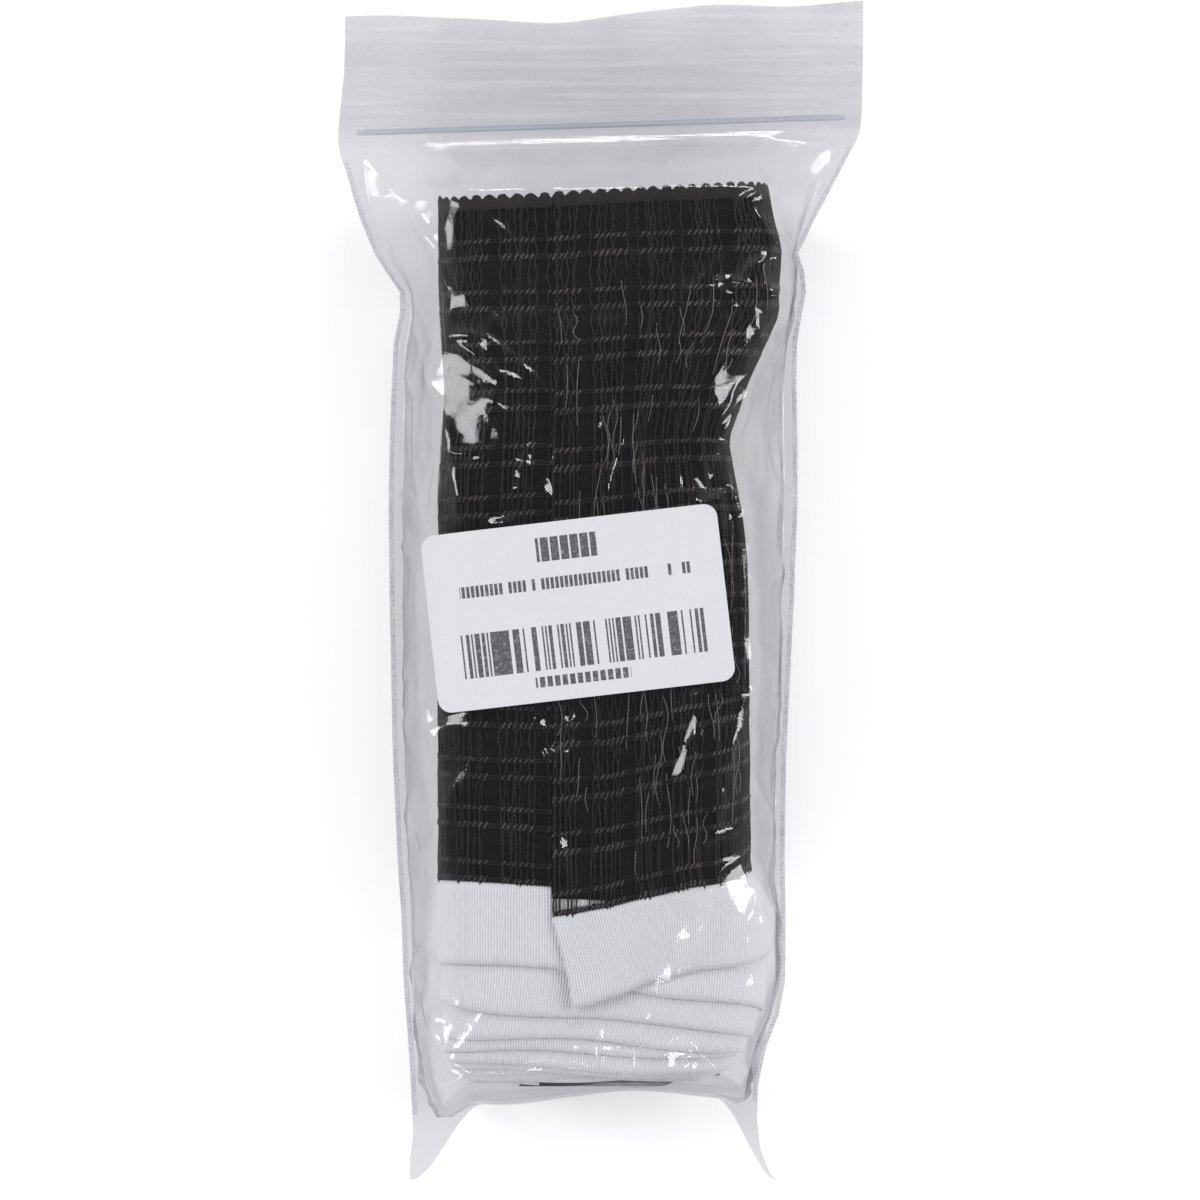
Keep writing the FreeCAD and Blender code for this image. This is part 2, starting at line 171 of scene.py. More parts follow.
class Creases:
    """Folds in thin film: straight ridges with a sharp crest, summed over a plane."""

    def __init__(self, rows: Sequence[Sequence[float]]) -> None:
        """Keeps ridges given as x0, y0, x1, y1, height, half width, in millimetres."""
        self.rows = np.array(rows, float)

    @staticmethod
    def scattered(count: int, seed: int, area: Sequence[float], size: Sequence[float], angle: Sequence[float],
                  height: Sequence[float], width: Sequence[float]) -> "Creases":
        """Random ridges inside a rectangle.

        Args:
            count: how many.
            seed: seed of the generator.
            area: low x, low y, high x, high y.
            size: shortest and longest ridge.
            angle: mean and spread of the direction, in degrees from X.
            height: lowest and highest crest.
            width: smallest and largest half width.

        Returns:
            The ridges.
        """
        rng = np.random.default_rng(seed)
        x = rng.uniform(area[0], area[2], count)
        y = rng.uniform(area[1], area[3], count)
        half = rng.uniform(size[0], size[1], count) / 2
        turn = np.radians(rng.normal(angle[0], angle[1], count))
        dx, dy = half * np.cos(turn), half * np.sin(turn)
        tall = rng.uniform(height[0], height[1], count) * rng.choice([1.0, 0.6, -0.35], count)
        broad = rng.uniform(width[0], width[1], count)
        return Creases(np.stack([x - dx, y - dy, x + dx, y + dy, tall, broad], 1))

    @staticmethod
    def bent(points: Sequence[tuple[float, float]], height: float, width: float) -> "Creases":
        """One ridge led through several points."""
        return Creases([(*a, *b, height, width) for a, b in zip(points, points[1:])])

    def joined(self, other: "Creases") -> "Creases":
        """Both sets together."""
        return Creases(np.concatenate([self.rows, other.rows]))

    def lift(self, x: Grid, y: Grid) -> Grid:
        """Height of the film at points of the plane.

        Each ridge adds height times a tent that falls off exponentially on both sides of its line, which bows
        a little, and is faded out towards its two ends by a squared cosine.

        Args:
            x, y: points of the plane.

        Returns:
            The sum of all the ridges there.
        """
        total = np.zeros_like(x)
        for x0, y0, x1, y1, height, width in self.rows:
            length = math.hypot(x1 - x0, y1 - y0)
            ux, uy = (x1 - x0) / length, (y1 - y0) / length
            along = ((x - x0) * ux + (y - y0) * uy) / length
            bow = 0.03 * length * np.sin(np.pi * np.clip(along, 0, 1))
            across = (y - y0) * ux - (x - x0) * uy - bow
            ends = np.cos(np.pi * (np.clip(along, -0.25, 1.25) - 0.5) / 1.5) ** 2
            total += height * ends * np.exp(-(np.sqrt(across ** 2 + (0.22 * width) ** 2) / width) ** 1.25)
        return total


# ------------------------------------------------------------------ meshes


@dataclass
class Surface:
    """A mesh in the making: points in millimetres, faces, and an optional pair of surface coordinates."""

    points: Grid
    faces: Grid
    coords: Grid | None = None

    @staticmethod
    def of_grid(points: Grid, coords: Grid | None = None, closed: bool = False,
                flip: bool = False) -> "Surface":
        """Joins a grid of points into quads.

        Args:
            points: rows x columns x 3.
            coords: rows x columns x 2 surface coordinates.
            closed: join the last column to the first.
            flip: turn the faces round.

        Returns:
            The surface.
        """
        rows, columns = points.shape[:2]
        index = np.arange(rows * columns).reshape(rows, columns)
        if closed:
            index = np.concatenate([index, index[:, :1]], axis=1)
        quads = np.stack([index[:-1, :-1], index[:-1, 1:], index[1:, 1:], index[1:, :-1]], axis=-1)
        quads = quads.reshape(-1, 4)
        if flip:
            quads = quads[:, ::-1]
        flat = None if coords is None else coords.reshape(-1, 2)
        return Surface(points.reshape(-1, 3), quads, flat)

    @staticmethod
    def merged(parts: Sequence["Surface"]) -> "Surface":
        """Several surfaces as one mesh."""
        offset = np.cumsum([0] + [len(p.points) for p in parts[:-1]])
        coords = None if parts[0].coords is None else np.concatenate([p.coords for p in parts])
        return Surface(np.concatenate([p.points for p in parts]),
                       np.concatenate([p.faces + o for p, o in zip(parts, offset)]), coords)

    def to_object(self, name: str, material: bpy.types.Material, smooth: bool = True) -> bpy.types.Object:
        """Makes the Blender object.

        Args:
            name: the piece's name.
            material: its finish.
            smooth: shade it smooth.

        Returns:
            The object, at the origin, with its place in its mesh.
        """
        mesh = bpy.data.meshes.new(name)
        mesh.vertices.add(len(self.points))
        mesh.vertices.foreach_set("co", (self.points * MM).astype(np.float32).ravel())
        corners = self.faces.shape[1]
        mesh.loops.add(self.faces.size)
        mesh.loops.foreach_set("vertex_index", self.faces.astype(np.int32).ravel())
        mesh.polygons.add(len(self.faces))
        mesh.polygons.foreach_set("loop_start", np.arange(0, self.faces.size, corners, dtype=np.int32))
        mesh.update(calc_edges=True)
        if self.coords is not None:
            layer = mesh.uv_layers.new(name="surface")
            layer.data.foreach_set("uv", (self.coords[self.faces.ravel()] * MM).astype(np.float32).ravel())
        mesh.polygons.foreach_set("use_smooth", np.full(len(self.faces), smooth))
        mesh.materials.append(material)
        mesh.validate()
        obj = bpy.data.objects.new(name, mesh)
        bpy.context.scene.collection.objects.link(obj)
        return obj


def tubes(paths: Grid, radius: Grid | float, up: Sequence[float]) -> Surface:
    """Strands of square section carried along many paths at once.

    At each point the section is a ring of points, radius from the path, in the plane of two directions: one
    square to both the path and up, and one square to the path and to the first.

    Args:
        paths: strands x samples x 3.
        radius: one radius, or one for each strand and sample.
        up: a direction that no path runs along.

    Returns:
        All the strands, open at their ends.
    """
    sides = 4
    along = np.gradient(paths, axis=1)
    along /= np.linalg.norm(along, axis=2, keepdims=True) + 1e-12
    side = np.cross(along, np.asarray(up, float))
    side /= np.linalg.norm(side, axis=2, keepdims=True) + 1e-12
    over = np.cross(side, along)
    ring = np.linspace(0.0, 2 * np.pi, sides, endpoint=False) + np.pi / 4
    size = np.broadcast_to(np.asarray(radius, float), paths.shape[:2])[..., None, None]
    offset = np.cos(ring)[:, None] * side[:, :, None, :] + np.sin(ring)[:, None] * over[:, :, None, :]
    points = paths[:, :, None, :] + size * offset
    count, samples = paths.shape[:2]
    index = np.arange(count * samples * sides).reshape(count, samples, sides)
    after = np.roll(index, -1, axis=2)
    quads = np.stack([index[:, :-1], after[:, :-1], after[:, 1:], index[:, 1:]], axis=-1).reshape(-1, 4)
    return Surface(points.reshape(-1, 3), quads)


# ------------------------------------------------------------------ materials
# Sizes here are in metres, as the coordinates of a pattern are. Only the label's axes are in millimetres.


class Wire:
    """A node socket that adds Math nodes when it is used in an expression."""

    def __init__(self, graph: "Graph", socket: bpy.types.NodeSocket) -> None:
        """Wraps an output socket of graph."""
        self.graph, self.socket = graph, socket

    def _math(self, operation: str, *values: "Wire | float") -> "Wire":
        """One Math node on these values."""
        return self.graph.node("ShaderNodeMath", {"operation": operation}, *values)

    def __add__(self, other: "Wire | float") -> "Wire":
        """Sum."""
        return self._math("ADD", self, other)

    __radd__ = __add__

    def __sub__(self, other: "Wire | float") -> "Wire":
        """Difference."""
        return self._math("SUBTRACT", self, other)

    def __rsub__(self, other: "Wire | float") -> "Wire":
        """Reflected difference, for 1 - mask."""
        return self._math("SUBTRACT", other, self)

    def __mul__(self, other: "Wire | float") -> "Wire":
        """Product."""
        return self._math("MULTIPLY", self, other)

    __rmul__ = __mul__

    def __truediv__(self, other: "Wire | float") -> "Wire":
        """Quotient."""
        return self._math("DIVIDE", self, other)

    def __gt__(self, other: "Wire | float") -> "Wire":
        """One where this is greater."""
        return self._math("GREATER_THAN", self, other)

    def __lt__(self, other: "Wire | float") -> "Wire":
        """One where this is less."""
        return self._math("LESS_THAN", self, other)

    def sine(self) -> "Wire":
        """Sine."""
        return self._math("SINE", self)

    def size(self) -> "Wire":
        """Absolute value."""
        return self._math("ABSOLUTE", self)

    def floor(self) -> "Wire":
        """Rounded down."""
        return self._math("FLOOR", self)

    def part(self) -> "Wire":
        """Fractional part."""
        return self._math("FRACT", self)

    def power(self, exponent: float) -> "Wire":
        """Raised to a power."""
        return self._math("POWER", self, exponent)

    def top(self, other: "Wire | float") -> "Wire":
        """The larger of the two."""
        return self._math("MAXIMUM", self, other)

    def within(self, low: float, high: float) -> "Wire":
        """One between low and high, and zero outside."""
        return (self > low) * (self < high)

    def within_unit(self) -> "Wire":
        """Held between 0 and 1."""
        return self.ramp(0.0, 1.0)

    def ramp(self, low: float, high: float) -> "Wire":
        """Rises smoothly from zero at low to one at high."""
        return self.graph.node("ShaderNodeMapRange", {"interpolation_type": "SMOOTHSTEP"}, self, low, high)


class Graph:
    """The node tree of one material."""

    def __init__(self, name: str) -> None:
        """Starts an empty material of that name."""
        self.material = bpy.data.materials.new(name)
        self.material.use_nodes = True
        self.tree = self.material.node_tree
        self.tree.nodes.clear()

    def node(self, kind: str, settings: dict[str, object], *values: object, out: int | str = 0,
             **named: object) -> Wire:
        """Adds a node.

        Args:
            kind: the node's type.
            settings: its properties.
            values: what its first inputs take, in order.
            out: the output to return.
            named: what its inputs take, by name, with _ for a space.

        Returns:
            The chosen output.
        """
        made = self.tree.nodes.new(kind)
        for key, value in settings.items():
            setattr(made, key, value)
        pairs = [(made.inputs[n], v) for n, v in enumerate(values)]
        pairs += [(made.inputs[key.replace("_", " ")], v) for key, v in named.items()]
        for socket, value in pairs:
            if isinstance(value, Wire):
                self.tree.links.new(value.socket, socket)
            elif value is not None:
                socket.default_value = value
        return Wire(self, made.outputs[out])

    def place(self) -> Wire:
        """Object coordinates, in metres."""
        return self.node("ShaderNodeTexCoord", {}, out="Object")

    def surface(self) -> Wire:
        """The piece's own surface coordinates, in metres."""
        return self.node("ShaderNodeUVMap", {"uv_map": "surface"}, out="UV")

    def turned(self, vector: Wire, location: Sequence[float], angle: float, scale: Sequence[float]) -> Wire:
        """A pattern's coordinates centred, turned about Z and scaled."""
        return self.node("ShaderNodeMapping", {"vector_type": "TEXTURE"}, vector, tuple(location),
                         (0.0, 0.0, angle), tuple(scale))

    def split(self, vector: Wire) -> tuple[Wire, Wire, Wire]:
        """The three parts of a vector."""
        first = self.node("ShaderNodeSeparateXYZ", {}, vector)
        outputs = first.socket.node.outputs
        return first, Wire(self, outputs[1]), Wire(self, outputs[2])

    def join(self, x: Wire | float, y: Wire | float, z: Wire | float = 0.0) -> Wire:
        """A vector from three numbers."""
        return self.node("ShaderNodeCombineXYZ", {}, x, y, z)

    def noise(self, vector: Wire, scale: float, detail: float = 4.0, rough: float = 0.55) -> Wire:
        """Fractal noise from 0 to 1."""
        return self.node("ShaderNodeTexNoise", {}, vector, Scale=scale, Detail=detail, Roughness=rough)

    def blend(self, share: Wire | float, low: object, high: object) -> Wire:
        """A colour between two others."""
        made = self.tree.nodes.new("ShaderNodeMix")
        made.data_type = "RGBA"
        for socket, value in ((made.inputs[0], share), (made.inputs[6], low), (made.inputs[7], high)):
            if isinstance(value, Wire):
                self.tree.links.new(value.socket, socket)
            else:
                socket.default_value = value
        return Wire(self, made.outputs[2])

    def sheen(self, normal: Wire) -> Wire:
        """Mirror share of a thin sheet, alike from both sides: small, and rising steeply towards grazing."""
        facing = self.node("ShaderNodeLayerWeight", {}, 0.5, normal, out="Facing")
        return facing.power(5.0) * 0.7 + 0.04

    def relief(self, height: Wire, depth: float) -> Wire:
        """A normal bumped by a height from 0 to 1, over a depth in metres."""
        return self.node("ShaderNodeBump", {}, Distance=depth, Height=height)

    def finish(self, shader: Wire) -> bpy.types.Material:
        """Sends the shader to the output."""
        out = self.tree.nodes.new("ShaderNodeOutputMaterial")
        self.tree.links.new(shader.socket, out.inputs["Surface"])
        return self.material


def rgb(red: float, green: float, blue: float) -> Colour:
    """A colour with full alpha."""
    return red, green, blue, 1.0


@dataclass(frozen=True)
class ClearFilm:
    """Thin clear polythene: see-through, a little hazy, with a hard gloss."""

    name: str = "clear_film"
    tint: Colour = rgb(0.85, 0.848, 0.862)
    deep: Colour = rgb(0.54, 0.535, 0.56)
    gloss: float = 0.85
    haze: float = 0.0025
    stipple: float = 0.0

    def build(self) -> bpy.types.Material:
        """Transparent, under a mirror-like sheet and a faint haze that thickens in the lips.

        The film darkens from tint to deep where it is seen aslant, in smears and in the lips.
        """
        g = Graph(self.name)
        place = g.place()
        x, y, _ = g.split(place)
        mouth = y.ramp(0.084, 0.094)
        drawn = g.noise(g.join(x * 0.07, y * 2.0), 420.0, 3.0)
        ripple = g.noise(place, 260.0, 5.0, 0.6) * 0.5 + g.noise(place, 1500.0, 2.0, 0.5) * 0.2
        dots = g.noise(place, 2600.0, 1.0, 0.5).ramp(0.52, 0.6)
        height = ripple + mouth * drawn * 1.6
        if self.stipple:
            height = height + dots * (self.stipple * 1.5)
        normal = g.relief(height, 0.0001 + 0.0002 * self.stipple)
        shine = g.sheen(normal) * self.gloss
        smear = g.noise(place, 60.0, 5.0, 0.65).ramp(0.35, 0.8)
        facing = g.node("ShaderNodeLayerWeight", {}, 0.5, g.relief(ripple, 0.0), out="Facing")
        slant = (facing * facing * 0.9 + smear * 0.16 + mouth * 0.34).within_unit()
        clear = g.node("ShaderNodeBsdfTransparent", {}, g.blend(slant, self.tint, self.deep))
        glaze = g.node("ShaderNodeBsdfPrincipled", {}, Base_Color=rgb(0.96, 0.965, 0.98), Metallic=1.0,
                       Roughness=smear * 0.05 + 0.05, Normal=normal)
        milk = g.node("ShaderNodeBsdfPrincipled", {}, Base_Color=rgb(0.86, 0.86, 0.885), Roughness=0.5,
                      Normal=normal)
        cloud = smear * self.haze + self.haze + mouth * (drawn.ramp(0.4, 0.75) * 0.13 + smear * 0.1 + 0.03)
        if self.stipple:
            cloud = cloud + dots * (self.stipple * 0.25)
        veil = g.node("ShaderNodeMixShader", {}, cloud, clear, milk)
        return g.finish(g.node("ShaderNodeMixShader", {}, shine, veil, glaze))


@dataclass(frozen=True)
class TrackPlastic:
    """The thicker plastic of the press-seal track: clear with a cool tint."""

    name: str = "track_plastic"
    tint: Colour = rgb(0.84, 0.86, 0.89)

    def build(self) -> bpy.types.Material:
        """Transparent and tinted, with a soft gloss."""
        g = Graph(self.name)
        place = g.place()
        normal = g.relief(g.noise(place, 400.0), 0.0001)
        cloudy = g.blend(g.noise(place, 90.0), self.tint, rgb(0.90, 0.91, 0.93))
        clear = g.node("ShaderNodeBsdfTransparent", {}, cloudy)
        solid = g.node("ShaderNodeBsdfPrincipled", {}, Base_Color=rgb(0.74, 0.77, 0.80), Roughness=0.22,
                       Normal=normal)
        shine = g.sheen(normal) * 1.3 + 0.12
        return g.finish(g.node("ShaderNodeMixShader", {}, shine, clear, solid))


@dataclass(frozen=True)
class WovenTape:
    """White ribbed tape: cords across its width, bound by a fine warp, with a firmer selvedge."""

    name: str = "woven_tape"
    rib: float = 0.00058
    width: float = BAND * MM

    def build(self) -> bpy.types.Material:
        """Ribs follow the tape's length, from its surface coordinates."""
        g = Graph(self.name)
        along, across, _ = g.split(g.surface())
        wander = g.noise(g.join(along * 1.0, across * 1.0), 220.0, 3.0) - 0.5
        rib = ((along + wander * 0.00022) * (2 * math.pi / self.rib)).sine() * 0.5 + 0.5
        bound = (along * (math.pi / self.rib)).sine() * 1.2
        warp = (across * (2 * math.pi / 0.00036) + bound).sine() * 0.5 + 0.5
        middle = self.width * 0.5
        edge = (across - middle).size().ramp(middle - 0.0011, middle - 0.0007)
        fuzz = g.noise(g.join(along, across), 3000.0, 2.0)
        shade = g.noise(g.join(along, across), 45.0, 4.0)
        height = rib.power(0.7) * 0.62 + warp * 0.22 * (rib + 0.2) + fuzz * 0.12 + edge * 0.1
        # Painted shade: the colour follows the rib's height, darkest in the valleys between the ribs and
        # palest on their crests.
        colour = g.blend(rib.power(0.8), rgb(0.70, 0.71, 0.73), rgb(0.97, 0.975, 0.98))
        colour = g.blend(shade * 0.28 + edge * 0.14, colour, rgb(0.80, 0.81, 0.84))
        body = g.node("ShaderNodeBsdfPrincipled", {}, Base_Color=colour, Roughness=fuzz * 0.2 + 0.62,
                      Normal=g.relief(height, 0.00022))
        return g.finish(body)


@dataclass(frozen=True)
class KnitYarn:
    """Black synthetic yarn, with a dry sheen along its filaments: real gloss, and a painted sheen that pales
    the colour along its twist.
    """

    name: str = "knit_yarn"
    colour: Colour = rgb(0.0085, 0.0068, 0.0064)
    # light: the pale end of the colour, reached along the twist as a painted sheen and in random patches
    light: Colour = rgb(0.048, 0.040, 0.036)
    rough: float = 0.5
    gloss: float = 0.2

    def build(self) -> bpy.types.Material:
        """Dark yarn that pales a little in random patches, and along its twist as a painted sheen."""
        g = Graph(self.name)
        place = g.place()
        x, y, z = g.split(place)
        twist = ((x + y * 0.7 + z) * (2 * math.pi / 0.00042) + g.noise(place, 900.0) * 3.0).sine() * 0.5 + 0.5
        patch = g.noise(place, 130.0, 4.0).ramp(0.35, 0.8)
        # Painted sheen: the colour pales along the twist; the patches are random tone.
        colour = g.blend(twist * 0.35 + patch * 0.4, self.colour, self.light)
        body = g.node("ShaderNodeBsdfPrincipled", {}, Base_Color=colour, Roughness=patch * 0.15 + self.rough,
                      Specular_IOR_Level=self.gloss, Normal=g.relief(twist, 0.00012))
        return g.finish(body)


@dataclass(frozen=True)
class KnitCloth:
    """The deeper turns of the net, lying on one another: rows of dark stitches over gaps painted near-black
    as shade.
    """

    name: str = "knit_cloth"
    row: float = 0.0102
    stitch: float = 0.00125

    def build(self) -> bpy.types.Material:
        """Stitch rows and strand bundles, from the strip's surface coordinates."""
        g = Graph(self.name)
        along, across, _ = g.split(g.surface())
        grain = g.noise(g.join(along, across), 1800.0, 3.0)
        band = ((across / self.row).part() - 0.5).size()
        in_row = 1.0 - band.ramp(0.10, 0.17)
        second = 1.0 - (((across + 0.0037) / self.row).part() - 0.5).size().ramp(0.06, 0.12)
        slant = ((along + across * 0.55) * (2 * math.pi / self.stitch)).sine() * 0.5 + 0.5
        bundle = 1.0 - ((along / 0.0098).part() - 0.5).size().ramp(0.2, 0.3)
        yarn = (along * (2 * math.pi / 0.00085)).sine() * 0.5 + 0.5
        height = in_row * slant * 0.8 + second * slant * 0.4 + bundle * yarn * 0.35 + grain * 0.15
        # Painted shade and light: the colour follows the stitch height, near-black in the gaps and paler on
        # the raised stitches and yarns.
        colour = g.blend(height, rgb(0.0006, 0.0005, 0.0005), rgb(0.0095, 0.0078, 0.0074))
        body = g.node("ShaderNodeBsdfPrincipled", {}, Base_Color=colour, Roughness=grain * 0.2 + 0.55,
                      Specular_IOR_Level=0.08, Normal=g.relief(height, 0.0004))
        return g.finish(body)


@dataclass(frozen=True)
class PrintedPaper:
    """A pale paper label with plain bars for print: a heading, a line, a bar block and a row of dashes."""

    name: str = "printed_paper"

    def _bars(self, g: Graph, x: Wire, y: Wire, span: Sequence[float], unit: float, fill: float,
              seed: float) -> Wire:
        """Bars of uneven length in a band: cells are inked where a hashed value is under fill.

        Args:
            g: the material's nodes.
            x, y: places on the label, in millimetres.
            span: low x, low y, high x, high y of the band.
            unit: width of a cell.
            fill: share of the cells that are inked.
            seed: row of the hash.

        Returns:
            One on ink.
        """
        cell = (x / unit).floor()
        value = g.node("ShaderNodeTexWhiteNoise", {"noise_dimensions": "2D"}, g.join(cell, seed), out="Value")
        return (value < fill) * x.within(span[0], span[2]) * y.within(span[1], span[3])

    def build(self) -> bpy.types.Material:
        """Bars laid out on the label's own axes, in millimetres."""
        g = Graph(self.name)
        centre = (LABEL_X * MM, LABEL_Y * MM, 0.0)
        x, y, _ = g.split(g.turned(g.place(), centre, LABEL_TURN, (MM, MM, MM)))
        ink = (self._bars(g, x, y, (-6.6, 9.6, 5.0, 14.2), 1.9, 0.93, 3.0)
               * (1.0 - (x / 1.9).part().within(0.82, 1.0)))
        ink = ink.top(self._bars(g, x, y, (-22.0, 4.3, 22.5, 6.5), 0.9, 0.86, 7.0)
                      * (1.0 - (x / 0.9).part().within(0.7, 1.0)))
        ink = ink.top(self._bars(g, x, y, (-23.4, -11.0, 23.8, -2.6), 0.33, 0.56, 11.0))
        ink = ink.top(self._bars(g, x, y, (-9.5, -14.2, 8.8, -12.2), 1.45, 1.1, 17.0)
                      * (1.0 - (x / 1.45).part().within(0.7, 1.0)))
        fibre = g.noise(g.place(), 1400.0, 4.0, 0.6)
        cloud = g.noise(g.place(), 70.0, 3.0)
        paper = g.blend(fibre * 0.5 + cloud * 0.5, rgb(0.50, 0.50, 0.52), rgb(0.57, 0.57, 0.59))
        worn = g.noise(g.place(), 2600.0, 2.0).ramp(0.25, 0.5)
        colour = g.blend(ink * (worn * 0.35 + 0.6), paper, rgb(0.04, 0.04, 0.045))
        body = g.node("ShaderNodeBsdfPrincipled", {}, Base_Color=colour, Roughness=fibre * 0.15 + 0.5,
                      Normal=g.relief(fibre, 0.00006))
        return g.finish(body)


@dataclass(frozen=True)
class HardFinish:
    """Paint, plate, moulded plastic or rubber: one base colour with grain, wear and its own gloss."""

    name: str
    colour: Colour
    worn: Colour
    rough: float
    metallic: float = 0.0
    grain: float = 1500.0
    depth: float = 0.00004

    def build(self) -> bpy.types.Material:
        """Fine grain in colour, roughness and relief, and scuffs in patches."""
        g = Graph(self.name)
        place = g.place()
        grain = g.noise(place, self.grain, 4.0, 0.6)
        scuff = g.noise(place, 160.0, 5.0, 0.7).ramp(0.55, 0.75)
        colour = g.blend(grain * 0.3 + scuff * 0.6, self.colour, self.worn)
        body = g.node("ShaderNodeBsdfPrincipled", {}, Base_Color=colour, Metallic=self.metallic,
                      Roughness=grain * 0.12 + scuff * 0.12 + self.rough, Normal=g.relief(grain, self.depth))
        return g.finish(body)


@dataclass(frozen=True)
class StudioPaper:
    """The seamless white sweep under the object, faintly backlit."""

    name: str = "studio_paper"

    def build(self) -> bpy.types.Material:
        """Matte white with a faint tooth."""
        g = Graph(self.name)
        tooth = g.noise(g.place(), 500.0)
        white = g.blend(tooth, rgb(0.60, 0.60, 0.60), rgb(0.64, 0.64, 0.64))
        body = g.node("ShaderNodeBsdfPrincipled", {}, Base_Color=white, Roughness=0.9,
                      Emission_Color=rgb(1.0, 1.0, 1.0), Emission_Strength=0.38,
                      Normal=g.relief(tooth, 0.00004))
        return g.finish(body)


# ------------------------------------------------------------------ the wound net


@dataclass
class Winding:
    """The path of the net strip: a flattened spiral that steps inward a quarter of its pitch at each side."""

    half_width: float = 36.5
    half_thickness: float = 19.0
    corner: float = 12.5
    pitch: float = 0.95
    turns: int = 11
    start_x: float = -11.6
    first_y: float = -72.0
    step: float = 0.45
    path: Grid = field(init=False)
    normal: Grid = field(init=False)
    length: Grid = field(init=False)
    turn: Grid = field(init=False)

    def __post_init__(self) -> None:
        """Walks the sides and corners, then spaces the samples evenly."""
        points: list[Grid] = []
        turn: list[Grid] = []
        for n in range(4 * self.turns + 1):
            out, after, before = self._reach(n), self._reach(n + 1), self._reach(n - 1)
            radius, last_radius = self._radius(n), self._radius(n - 1)
            low = self.start_x if n == 0 else -(before - last_radius)
            high = self.start_x if n == 4 * self.turns else after - radius
            flat = np.linspace(low, high, 40)
            points.append(self._on(n, flat, out))
            if n < 4 * self.turns:
                angle = np.linspace(0.0, np.pi / 2, 24)[1:-1]
                points.append(self._on(n, high + radius * np.sin(angle),
                                       out - radius + radius * np.cos(angle)))
        raw = np.concatenate(points)
        run = np.concatenate([[0.0], np.cumsum(np.linalg.norm(np.diff(raw, axis=0), axis=1))])
        count = int(run[-1] / self.step)
        self.length = np.linspace(0.0, run[-1], count)
        self.path = np.stack([np.interp(self.length, run, raw[:, k]) for k in (0, 1)], axis=1)
        along = np.gradient(self.path, axis=0)
        along /= np.linalg.norm(along, axis=1, keepdims=True)
        self.normal = np.stack([-along[:, 1], along[:, 0]], axis=1)
        around = np.unwrap(np.arctan2(self.path[:, 1] * 1.6, self.path[:, 0]))
        self.turn = (around[0] - around) / (2 * np.pi)

    def _reach(self, n: int) -> float:
        """How far side n lies from the middle."""
        return (self.half_thickness if n % 2 == 0 else self.half_width) - self.pitch * n / 4

    def _radius(self, n: int) -> float:
        """Radius of the corner after side n."""
        return self.corner - self.pitch * n / 4

    @staticmethod
    def _on(n: int, along: Grid, out: Grid | float) -> Grid:
        """Points on side n: front, right, back or left."""
        out = np.broadcast_to(out, np.shape(along))
        x, z = {0: (along, out), 1: (out, -along), 2: (-along, -out), 3: (-out, along)}[n % 4]
        return np.stack([x, z], axis=1)

    def _lower_edge(self, turn: Grid) -> Grid:
        """How low the strip's edge lies after so many turns: it steps down each time it crosses the front."""
        steps = np.array([(0.0, 75.8), (0.06, 75.4), (0.11, 73.2), (0.15, 71.2), (0.24, 68.4), (0.8, 70.8),
                          (1.0, 71.0), (1.12, 75.5), (1.27, 79.2), (1.9, 77.8), (2.05, 79.4), (2.27, 84.4),
                          (2.9, 83.2), (3.05, 84.8), (3.27, 88.4), (3.9, 87.2), (5.0, 90.2), (11.0, 92.8)])
        return -np.interp(turn, steps[:, 0], steps[:, 1])

    def height_at(self, sample: Grid, rise: Grid) -> Grid:
        """Y of the strip, at a length sample and a height rise above its lower edge.

        The lower edge steps down with the turns, and the loose end hangs down towards its corner. Both fade
        towards the hem, where the first turns lie closer together and rise slightly to the right.

        Args:
            sample: lengths along the strip, from its loose end.
            rise: heights above the lower edge.

        Returns:
            Y of each.
        """
        turn, x, z, length = (np.interp(sample, self.length, v) for v in
                              (self.turn, self.path[:, 0], self.path[:, 1], self.length))
        up = np.clip(rise / NET_HEIGHT, 0.0, 1.0)
        side = np.clip(x, -30.0, 30.0) * smoothstep(-4.0, 12.0, z)
        drop = self._lower_edge(turn) - self.first_y
        level = (0.7 * np.sin(length / 23.0) + 0.5 * np.sin(length / 9.0 + rise / 21.0)) * (1.0 - 0.75 * up)
        free = -2.2 * (1.0 - smoothstep(0.0, 16.0, length)) * np.exp(-rise / 30.0)
        share = smoothstep(0.0, 0.8, up)
        high = (2.0 - 1.7 * smoothstep(1.0, 1.1, turn) - 1.5 * np.maximum(turn - 1.0, 0.0) ** 0.5
                - 2.6 * smoothstep(4.0, -12.0, z))
        return (self.first_y + drop * (1.0 - share) + high * share + 0.05 * side * up ** 2 + free + level
                + 0.975 * rise)

    def at(self, inset: Grid | float, y: Grid, sample: Grid | slice = slice(None)) -> Grid:
        """Points of the strip: inset from its outer face, at y, in the pack's frame."""
        flat = self.path[sample] - self.normal[sample] * np.asarray(inset)[..., None]
        return settle(np.stack(np.broadcast_arrays(flat[..., 0], y, flat[..., 1] + MID_Z), axis=-1))

    def laid(self, length: Grid, y: Grid, depth: Grid) -> Grid:
        """Points at lengths along the strip, at y and at a depth under its outer face, as it lies."""
        x, z, nx, nz = (np.interp(length, self.length, v) for v in
                        (self.path[:, 0], self.path[:, 1], self.normal[:, 0], self.normal[:, 1]))
        return settle(np.stack(np.broadcast_arrays(x - nx * depth, y, z - nz * depth + MID_Z), axis=-1))


